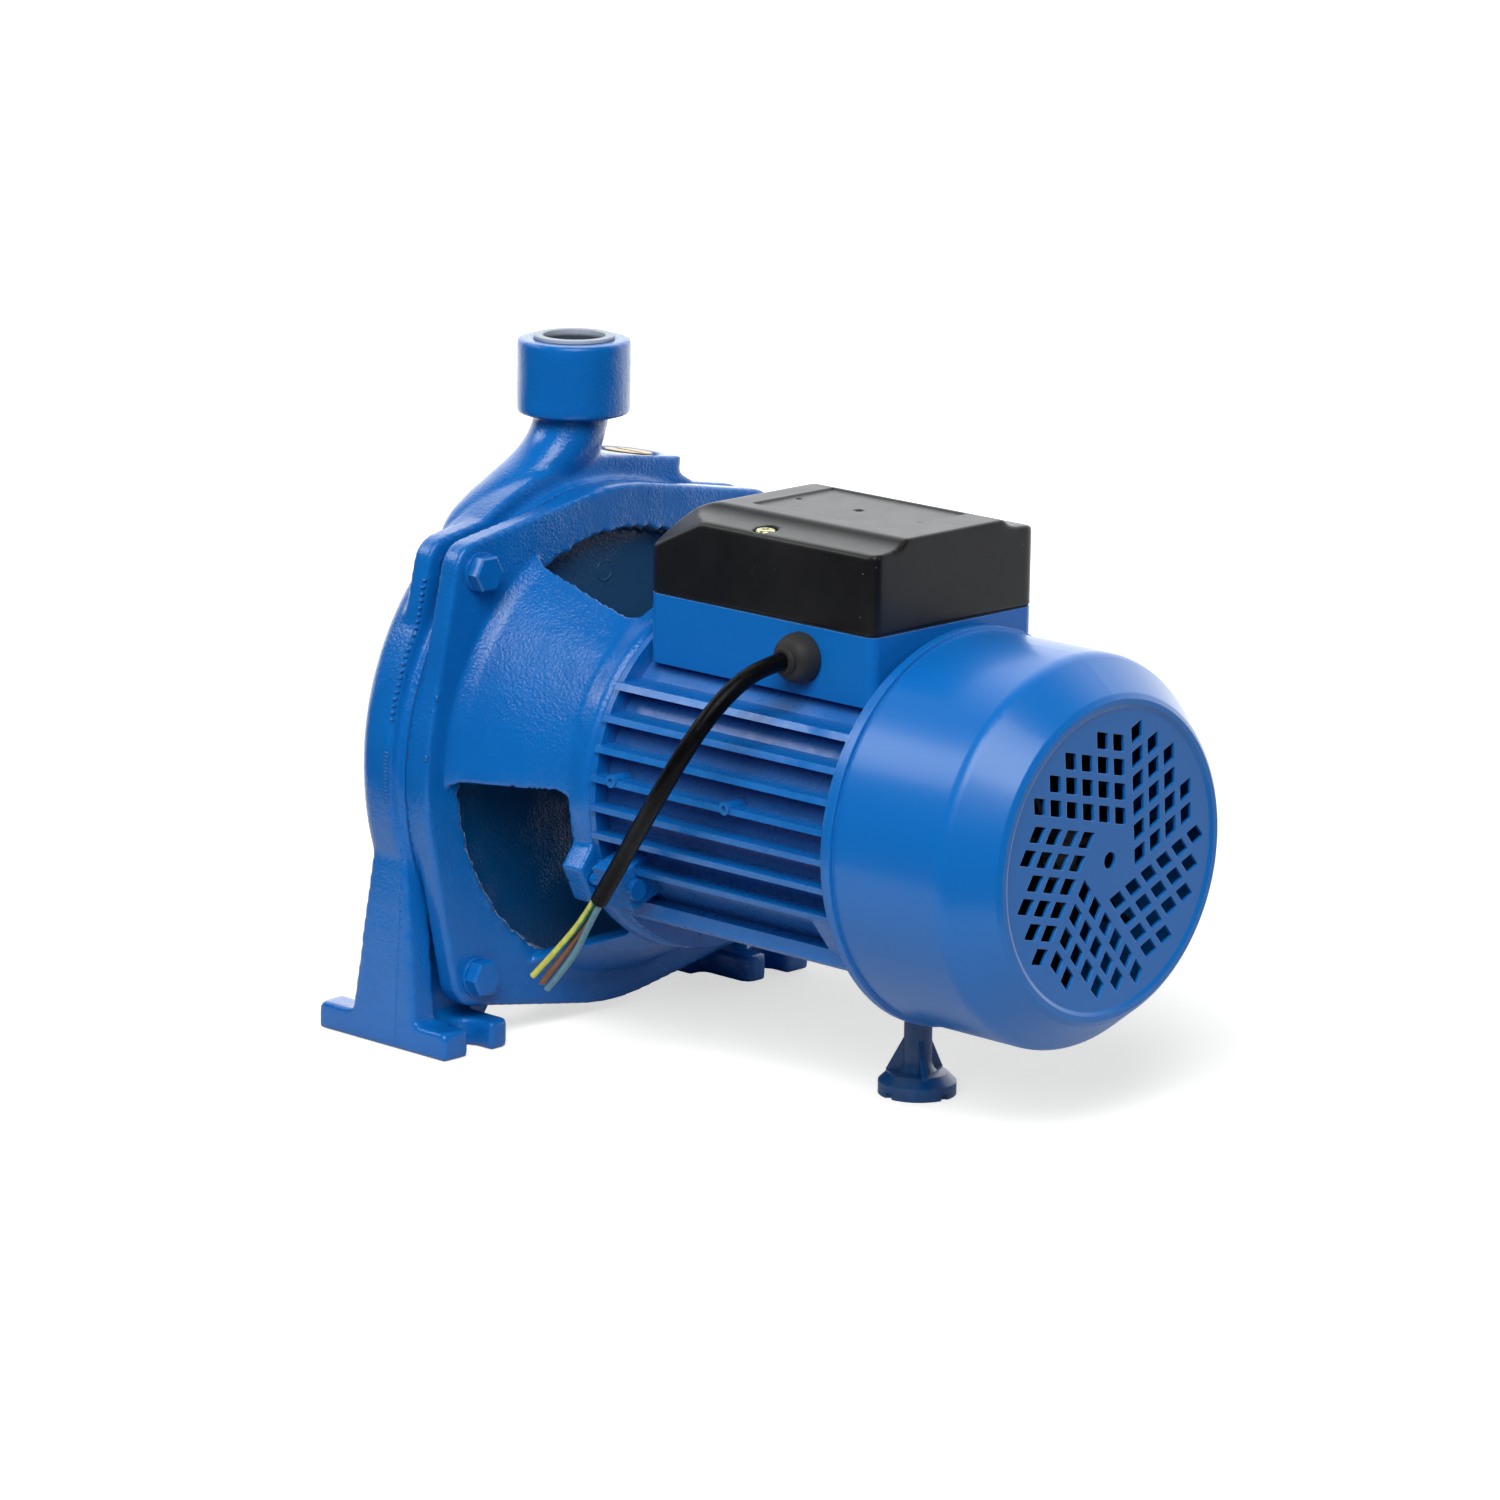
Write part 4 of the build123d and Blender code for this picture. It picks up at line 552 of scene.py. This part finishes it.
node_materials = {
    cast_blue: ("pump_casing",),
    bracket_blue: ("motor_bracket",),
    smooth_blue: ("fan_cover", "terminal_box_base"),
    bolt_blue: ("casing_bolts", "casing_bolt_washers", "tie_bolts"),
    shaded_foot_blue: ("rear_foot",),
    fin_blue: ("motor_frame",),
    lid_black: ("terminal_box_cover",),
    rubber_black: ("cable_gland", "seal_seat_cup", "terminal_box_gasket"),
    nylon_dark: ("cooling_fan", "terminal_block"),
    pale_plastic: ("outlet_thread_protector",),
    grey_plastic: ("run_capacitor",),
    sheath_black: ("power_cable",),
    earth_yellow: ("earth_wire",),
    live_brown: ("live_wire",),
    neutral_blue: ("neutral_wire",),
    brass: ("priming_plug", "drain_plug", "impeller", "terminal_studs"),
    zinc_yellow: ("cover_screws",),
    zinc_steel: ("rear_foot_screw", "impeller_nut", "impeller_washer"),
    aluminium: ("rotor_end_rings",),
    shield_dark: ("rear_end_shield",),
    dull_steel: ("rotor_shaft", "fan_clip", "end_shield_screws"),
    gasket_fibre: ("casing_gasket", "priming_plug_washer", "drain_plug_washer"),
    seal_ceramic: ("seal_seat",),
    lamination_steel: ("rotor_core", "stator_core"),
    copper_winding: ("stator_windings",),
}


def dress_nodes():
    """Gives every CAD node its material; what isn't named is polished steel."""
    finish = {node: material for material, group in node_materials.items() for node in group}
    for name, node in nodes.items():
        node.data.materials.clear()
        node.data.materials.append(finish.get(name, polished_steel))


dress_nodes()


# ---- cable and its three cores ----
cable_radius = 3.4 * MM
wire_radius = 1.3 * MM
cable_route = (
    (0.1665, -0.0565, 0.1728),
    (0.1660, -0.0685, 0.1715),
    (0.1650, -0.0805, 0.1660),
    (0.1625, -0.0910, 0.1565),
    (0.1580, -0.0985, 0.1440),
    (0.1485, -0.1015, 0.1270),
    (0.1330, -0.0955, 0.1105),
    (0.1145, -0.0865, 0.0925),
    (0.0985, -0.0825, 0.0730),
)
earth_route = (
    (0.0974, -0.0835, 0.0737),
    (0.0899, -0.0816, 0.0645),
    (0.0772, -0.0823, 0.0503),
    (0.0648, -0.0840, 0.0371),
)
live_route = (
    (0.0985, -0.0808, 0.0733),
    (0.0910, -0.0789, 0.0641),
    (0.0795, -0.0797, 0.0495),
    (0.0677, -0.0820, 0.0345),
)
neutral_route = (
    (0.0997, -0.0831, 0.0719),
    (0.0922, -0.0812, 0.0627),
    (0.0820, -0.0794, 0.0464),
    (0.0684, -0.0800, 0.0319),
)


def cord_curve(name, route, radius, material=None):
    """Smooth cord along a route's points."""
    line = bpy.data.curves.new(name, "CURVE")
    line.dimensions = "3D"
    spline = line.splines.new("NURBS")
    spline.points.add(len(route) - 1)
    for point, place in zip(spline.points, route):
        point.co = (*place, 1)
    spline.order_u = 3
    spline.use_endpoint_u = True
    spline.resolution_u = 16
    line.bevel_depth = radius
    line.bevel_resolution = 8 if radius > 0 else 0
    line.use_fill_caps = radius > 0
    if material:
        line.materials.append(material)
    cord = bpy.data.objects.new(name, line)
    scene.collection.objects.link(cord)
    return cord


def spline_points(route):
    """Points along a route's own smooth line."""
    guide = cord_curve("guide", route, 0)
    bpy.context.view_layer.update()
    mesh = bpy.data.meshes.new_from_object(guide.evaluated_get(bpy.context.evaluated_depsgraph_get()))
    points = [vertex.co.copy() for vertex in mesh.vertices]
    bpy.data.objects.remove(guide)
    return points


def striped_wire(name, route):
    """Earth core, with a green and a yellow band that wind slowly along it."""
    path = spline_points(route)
    sides = 24
    first_green = 10
    green_part = 0.34
    twist = 0.06

    def band(step, side):
        return 1 if (side - first_green + step * twist) % sides < sides * green_part else 0

    wire = tube_mesh(name, path, wire_radius, sides, band)
    wire.data.materials.append(earth_yellow)
    wire.data.materials.append(earth_green)
    return wire, path


def copper_strands(name, route):
    """Seven bare strands that just show at a core's cut end."""
    end = Vector(route[-1])
    ahead = (end - Vector(route[-2])).normalized()
    across = ahead.orthogonal().normalized()
    beside = ahead.cross(across)
    built = bmesh.new()
    strand_radius = 0.26 * MM
    for strand in range(7):
        turn = math.radians(60 * strand)
        reach = 0 if strand == 6 else 2 * strand_radius
        centre = end + (across * math.cos(turn) + beside * math.sin(turn)) * reach
        length = (0.7 + 0.12 * (strand % 3)) * MM
        place = frame_at(centre + ahead * (length / 2 - 0.4 * MM), ahead)
        bmesh.ops.create_cone(
            built,
            cap_ends=True,
            segments=10,
            radius1=strand_radius,
            radius2=strand_radius * 0.8,
            depth=length,
            matrix=place,
        )
    return finish_bmesh(name, built, copper)


def add_cords():
    gland = add_gland()
    cable = cord_curve("power_cable_sheath", cable_route, cable_radius, sheath_black)
    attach(cable, "root")
    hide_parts("power_cable")
    cores = (
        ("earth", earth_route, None),
        ("live", live_route, live_brown),
        ("neutral", neutral_route, neutral_blue),
    )
    for core, route, material in cores:
        path = None
        if material:
            wire = cord_curve(core + "_core", route, wire_radius, material)
        else:
            wire, path = striped_wire(core + "_core", route)
        strands = copper_strands(core + "_strands", route)
        for piece in (wire, strands):
            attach(piece, "root")
        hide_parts(core + "_wire")


def add_gland():
    """Rubber gland: flange inside the wall, dome outside it, and a stepped collar round the cable."""
    wall_y = -44.8
    centre_x = 166.5
    centre_z = 172.8
    dome = [(0.05, 5.55), (0.05, 9.1), (0.35, 9.62), (0.9, 9.75), (1.5, 9.72)]
    for step in range(1, 9):
        turn = math.radians(6 + step * 9.5)
        dome.append((1.2 + 8.2 * math.sin(turn), 5.1 + 4.66 * math.cos(turn)))
    lip = [(9.5, 5.35), (9.8, 5.5), (10.6, 5.45)]
    collar = [(10.75, 5.0), (11.0, 4.9), (11.55, 4.8), (11.7, 4.6), (11.7, 3.3)]
    inside = [(-5.5, 3.3), (-5.5, 7.4), (-2.55, 7.4), (-2.55, 5.55)]
    profile = [(along * MM, radius * MM) for along, radius in dome + lip + collar + inside]
    place = frame_at((centre_x * MM, wall_y * MM, centre_z * MM), (0, -1, 0))
    gland = lathe("cable_gland_rubber", profile, place, 96, rubber_black)
    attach(gland, "root")
    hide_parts("cable_gland")
    return gland


add_cords()


# ---- pieces with soft edges ----
# A point counts as sharp once smoothing would shift it by sharp_start, and fully so sharp_range further on.
smoothing_step = 0.6
sharp_start = 0.12 * MM
sharp_range = 0.30 * MM
rag_size = 3.4 * MM
wander_size = 26 * MM
wander_depth = 0.05 * MM
outlet_collar_bottom = 225 * MM
outlet_bore_zone = 17.5 * MM
suction_bore_zone = 22.5 * MM
flange_inner_zone = 106 * MM
feet_top = 40 * MM
window_rim_radius = 86 * MM
window_rim_x = 23 * MM
lid_middle = (150 * MM, 2.5 * MM)
lid_screw_x = 140.4 * MM
lid_screw_y = 38.3 * MM


def laplace(places, ends, weight, passes):
    """Smooths vertex places along the mesh's edges, only where the weight allows."""
    count = len(places)
    degree = np.bincount(ends.ravel(), minlength=count).astype(float)[:, None]
    for _ in range(passes):
        total = np.empty_like(places)
        for axis in range(3):
            total[:, axis] = np.bincount(ends[:, 0], places[ends[:, 1], axis], count)
            total[:, axis] += np.bincount(ends[:, 1], places[ends[:, 0], axis], count)
        places = places + (total / degree - places) * weight[:, None] * smoothing_step
    return places


def remeshed(node, voxel):
    """The node's shape as an even mesh of small squares."""
    mesh = nodes[node].data.copy()
    built = bmesh.new()
    built.from_mesh(mesh)
    bmesh.ops.remove_doubles(built, verts=built.verts, dist=0.01 * MM)
    built.to_mesh(mesh)
    built.free()
    source = link_mesh("remesh_source", mesh)
    remesh = source.modifiers.new("even", "REMESH")
    remesh.mode = "VOXEL"
    remesh.voxel_size = voxel
    bpy.context.view_layer.update()
    shape = bpy.data.meshes.new_from_object(source.evaluated_get(bpy.context.evaluated_depsgraph_get()))
    bpy.data.objects.remove(source)
    return shape


def read_rows(group, field, width, kind=float):
    """A field of a mesh's vertices or edges, one row each."""
    values = np.empty(len(group) * width, kind)
    group.foreach_get(field, values)
    return values.reshape(-1, width)


def soft_copy(node, name, material, voxel, passes, ease, torn=None):
    """Replaces a node by its own shape with soft edges and corners.

    ease(points) is 0 where a fit is left as it is and 1 where edges are softest.
    torn(points) scales how ragged a casting's sharp edges are.
    """
    shape = remeshed(node, voxel)
    places = read_rows(shape.vertices, "co", 3)
    ends = read_rows(shape.edges, "vertices", 2, np.int32)
    weight = ease(places)
    eased = laplace(places, ends, weight, passes)
    if torn is not None:
        everywhere = np.ones(len(places))
        moved = np.linalg.norm(laplace(places, ends, everywhere, 3) - places, axis=1)[:, None]
        sharp = np.clip((moved - sharp_start) / sharp_range, 0, 1).repeat(3, 1)
        sharp = laplace(sharp, ends, everywhere, 2)[:, 0]
        shape.vertices.foreach_set("co", eased.ravel())
        shape.update()
        normals = read_rows(shape.vertices, "normal", 3)
        rag = np.array([noise.noise(Vector(point) / rag_size) for point in eased])
        wander = np.array([noise.noise(Vector(point) / wander_size) for point in eased])
        offset = (rag * sharp * torn(places) + wander * wander_depth) * (weight > 0)
        eased = eased + normals * offset[:, None]
    low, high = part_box(node)
    eased = np.clip(eased, np.array(low), np.array(high))
    shape.vertices.foreach_set("co", eased.ravel())
    for face in shape.polygons:
        face.use_smooth = True
    shape.update()
    shape.materials.clear()
    piece = link_mesh(name, shape, material)
    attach(piece, "root")
    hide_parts(node)
    return piece


def off_shaft(points):
    """Distance of each point from the shaft's axis."""
    return np.hypot(points[:, 1], points[:, 2] - shaft_z)


def on_window_rim(points):
    """Whether each point is on the rim of the bracket's windows, in its flange."""
    at_radius = np.abs(off_shaft(points) - window_rim_radius) < 3 * MM
    return at_radius & (np.abs(points[:, 0] - window_rim_x) < 4.5 * MM)


def casing_ease(points):
    """Sharp at the outlet bore, suction bore and chamber; softest at the feet."""
    x, y, z = points.T
    radius = off_shaft(points)
    outlet = (np.hypot(x, y) < outlet_bore_zone) & (z > outlet_collar_bottom)
    suction = (radius < suction_bore_zone) & (x < -18 * MM)
    feet = z < feet_top
    foot_edges = feet & ((x < 13.6 * MM) | (z < 22 * MM))
    land = (x > 13.0 * MM) & (radius < flange_inner_zone) & ~foot_edges
    return np.where(outlet | suction | land, 0.0, np.where(feet, 1.0, 0.5))


def bracket_ease(points):
    """Sharp at the land, bore and spigot, and almost sharp on the windows' rim."""
    bore = off_shaft(points) < 22 * MM
    land = points[:, 0] < 14.8 * MM
    spigot = points[:, 0] > 79.8 * MM
    return np.where(bore | land | spigot, 0.0, np.where(on_window_rim(points), 0.12, 0.5))


def lid_ease(points):
    """Sharp at the lower rim, the recess of the lid's top and its two screw holes."""
    x, y, z = points.T
    rim = z < 187.2 * MM
    recess = (np.abs(x - lid_middle[0]) < 35.4 * MM) & (np.abs(y - lid_middle[1]) < 23.4 * MM)
    screws = np.hypot(x - lid_screw_x, np.abs(y) - lid_screw_y) < 5.4 * MM
    return np.where(rim | recess | screws, 0.0, 1.0)


def even_edges(points):
    """A little unevenness on every edge."""
    return np.full(len(points), 0.10 * MM)


def window_edges(points):
    """Ragged on the rim of the bracket's windows, and almost even on its other edges."""
    return np.where(on_window_rim(points), 6.0 * MM, 0.12 * MM)


casing = soft_copy(
    "pump_casing",
    "pump_casing_cast",
    cast_blue,
    voxel=1.1 * MM,
    passes=6,
    ease=casing_ease,
    torn=even_edges,
)
soft_copy(
    "motor_bracket",
    "motor_bracket_cast",
    bracket_blue,
    voxel=0.9 * MM,
    passes=8,
    ease=bracket_ease,
    torn=window_edges,
)
soft_copy(
    "terminal_box_cover",
    "terminal_box_lid",
    lid_black,
    voxel=0.7 * MM,
    passes=8,
    ease=lid_ease,
)


# ---- small things on the castings ----
def ridge(built, centre, ahead, out, size):
    """One rounded wedge, size = (along, across, high)."""
    along = Vector(ahead).normalized()
    high = Vector(out).normalized()
    across = high.cross(along)
    turn = Matrix((along, across, high)).transposed().to_4x4()
    scale = Matrix.Diagonal((size[0] / 2, size[1] / 2, size[2], 1))
    place = Matrix.Translation(Vector(centre)) @ turn @ scale
    bmesh.ops.create_uvsphere(built, u_segments=12, v_segments=8, radius=1, matrix=place)


def casing_side(x, z):
    """Point and outward normal where the casing's -Y side is met at that x and z, if it is met."""
    met, place, normal, _ = casing.ray_cast(Vector((x, -0.2, z)), Vector((0, 1, 0)))
    return (place, normal) if met else (Vector((x, -0.1, z)), Vector((0, -1, 0)))


def add_parting_teeth():
    """Rows of small teeth where the casing's mould halves met, along its flange and leg.

    A row runs from z_top to z_bottom and from x_top to x_bottom, with teeth of the same size.
    """
    built = bmesh.new()
    rows = (
        (184, 128, 9.5, 9.5, 2.6, (2.3, 1.6, 1.4)),
        (119, 97, 8.4, 8.4, 1.5, (3.0, 0.8, 0.35)),
        (80, 46, 11.2, 10.2, 3.4, (1.5, 1.6, 0.28)),
    )
    for z_top, z_bottom, x_top, x_bottom, pitch, size in rows:
        steps = int((z_top - z_bottom) / pitch)
        for step in range(steps):
            x = x_top + (x_bottom - x_top) * step / steps
            place, normal = casing_side(x * MM, (z_top - step * pitch) * MM)
            ridge(built, place, (1, 0, 0), normal, [part * MM for part in size])
    keep_in_box(built)
    teeth = finish_bmesh("casing_parting_teeth", built, cast_blue)
    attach(teeth, "root")


def add_parting_line():
    """Thin raised line down the casing's leg and foot."""
    radius = 0.62 * MM
    sunk = 0.30 * MM
    path = []
    for step in range(38):
        z = 2.0 + step * 1.8
        place, normal = casing_side((7.4 + z * 0.042) * MM, z * MM)
        path.append(place - normal * sunk)
    line = tube_mesh("casing_parting_line", path, radius, 12, lambda step, side: 0)
    line.data.materials.append(cast_blue)
    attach(line, "root")


def add_witness_mark():
    """Faint round mark on the bracket's back plate, seen through the top window."""
    radius = 4.0 * MM
    half_width = 0.45 * MM
    height = 0.25 * MM
    profile = []
    for step in range(8):
        turn = math.radians(45 * step)
        profile.append((height * math.sin(turn), radius + half_width * math.cos(turn)))
    place = frame_at((19.05 * MM, -1 * MM, 177 * MM), (1, 0, 0))
    mark = lathe("back_plate_mark", profile, place, 48, bracket_blue)
    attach(mark, "root")


def add_paint_drips():
    """Beads of enamel that ran together along the flanges' edges.

    Each has its x, its distance from the shaft, its angle from the top and its size.
    """
    built = bmesh.new()
    drips = (
        (22, 100.5, 66.0, 1.5),
        (17.5, 103.6, 52.5, 1.1),
        (25.5, 103.7, 71.0, 1.2),
        (18.0, 103.7, 96.0, 1.0),
        (25.0, 103.6, 84.0, 1.3),
        (10.0, 103.8, 63.0, 1.0),
        (24.5, 103.7, 118.0, 1.1),
    )
    for x, reach, angle, size in drips:
        turn = math.radians(angle)
        out = Vector((0, -math.sin(turn), math.cos(turn)))
        centre = Vector((x * MM, 0, shaft_z)) + out * reach * MM
        shape = (2.4 * size * MM, 1.5 * size * MM, 0.6 * size * MM)
        ridge(built, centre, (0, -out.z, out.y), out, shape)
    keep_in_box(built)
    beads = finish_bmesh("enamel_drips", built, cast_blue)
    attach(beads, "root")


def add_suction_thread():
    """Internal pipe thread of the suction port."""
    crest = 15.3 * MM
    root = 16.5 * MM
    pitch = 2.309 * MM
    mouth_x = -49.6 * MM
    turns = 7
    segments = 64
    flank = ((0.0, root), (0.33, crest), (0.57, crest), (0.90, root))
    built = bmesh.new()
    rows = []
    for step in range(turns * segments + 1):
        turn = 2 * math.pi * step / segments
        x = mouth_x + pitch * step / segments
        row = []
        for part, radius in flank:
            y = radius * math.cos(turn)
            z = shaft_z + radius * math.sin(turn)
            row.append(built.verts.new((x + part * pitch, y, z)))
        rows.append(row)
    for row, after in zip(rows, rows[1:]):
        for corner in range(4):
            follow = (corner + 1) % 4
            built.faces.new((row[corner], row[follow], after[follow], after[corner]))
    built.faces.new(rows[0])
    built.faces.new(rows[-1])
    thread = finish_bmesh("suction_thread", built, zinc_steel)
    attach(thread, "root")


add_parting_teeth()
add_parting_line()
add_witness_mark()
add_paint_drips()
add_suction_thread()


# ---- floor, sky and lights ----
def matt_white(name, level):
    """Shader and slightly uneven tone of a matt white sheet."""
    shader = Shader(name, (level, level, level), 0.8)
    darker = level - 0.02
    tone = shader.mix(shader.noise(0.3, 3), (darker, darker, darker), (level, level, level))
    return shader, tone


def add_disc(name, radius, height, material):
    """Flat stage disc under the pump."""
    built = bmesh.new()
    bmesh.ops.create_circle(built, cap_ends=True, segments=96, radius=radius)
    disc = finish_bmesh(name, built, material)
    disc.location = (0.10, 0, height)
    return disc


def add_floor():
    """White floor that doesn't light the pump, and a card out of the camera's sight that does."""
    shader, tone = matt_white("floor", 0.87)
    away = shader.node("ShaderNodeVectorMath", operation="LENGTH")
    shader.join(shader.place, away.inputs[0])
    glow = shader.remap(away.outputs["Value"], 0.3, 1.5, 0.42, 0.95)
    shader.join(glow, shader.surface.inputs["Emission Strength"])
    shader.finish(tone, None, None, Emission_Color=(1, 1, 1, 1))
    floor = add_disc("floor", 14, -0.1 * MM, shader.material)
    floor.visible_glossy = False
    floor.visible_diffuse = False
    shader, tone = matt_white("bounce_card", 0.62)
    card = add_disc("bounce_card", 0.38, -0.05 * MM, shader.finish(tone))
    card.visible_camera = False
    card.visible_shadow = False


def add_light(name, heading, distance, size, radiance, in_gloss=True):
    """Soft rectangular lamp in a heading from the pump, turned towards it."""
    middle = Vector((0.11, 0.0, 0.12))
    lamp = bpy.data.lights.new(name, "AREA")
    lamp.shape = "RECTANGLE"
    lamp.size = size[0]
    lamp.size_y = size[1]
    lamp.energy = radiance * math.pi * size[0] * size[1]
    light = bpy.data.objects.new(name, lamp)
    direction = Vector(heading).normalized()
    light.location = middle + direction * distance
    light.rotation_euler = (-direction).to_track_quat("-Z", "Y").to_euler()
    light.visible_glossy = in_gloss
    scene.collection.objects.link(light)


def add_sky():
    """Pale surroundings, bright behind the pump and dim in front of it."""
    world = bpy.data.worlds.new("studio")
    world.use_nodes = True
    tree = world.node_tree
    place = tree.nodes.new("ShaderNodeTexCoord")
    facing = tree.nodes.new("ShaderNodeVectorMath")
    facing.operation = "DOT_PRODUCT"
    facing.inputs[1].default_value = (-0.50, 0.866, 0.0)
    tree.links.new(place.outputs["Generated"], facing.inputs[0])
    level = tree.nodes.new("ShaderNodeMapRange")
    level.interpolation_type = "SMOOTHSTEP"
    level.inputs["From Min"].default_value = 0.1
    level.inputs["From Max"].default_value = 0.75
    level.inputs["To Min"].default_value = 0.04
    level.inputs["To Max"].default_value = 2.0
    tree.links.new(facing.outputs["Value"], level.inputs["Value"])
    sky = tree.nodes["Background"]
    sky.inputs["Color"].default_value = (0.97, 0.985, 1.0, 1)
    tree.links.new(level.outputs["Result"], sky.inputs["Strength"])
    scene.world = world


def add_studio():
    add_light("key_softbox", (-0.669, -0.456, 0.587), 2.0, (0.95, 0.55), 4.2)
    add_light("front_softbox", (0.42, -0.48, 0.77), 2.0, (1.3, 1.1), 5.2)
    add_light("front_fill", (0.36, -0.68, 0.60), 2.0, (1.4, 1.2), 5.0, in_gloss=False)
    add_sky()
    scene.view_settings.view_transform = "Standard"


add_floor()
add_studio()
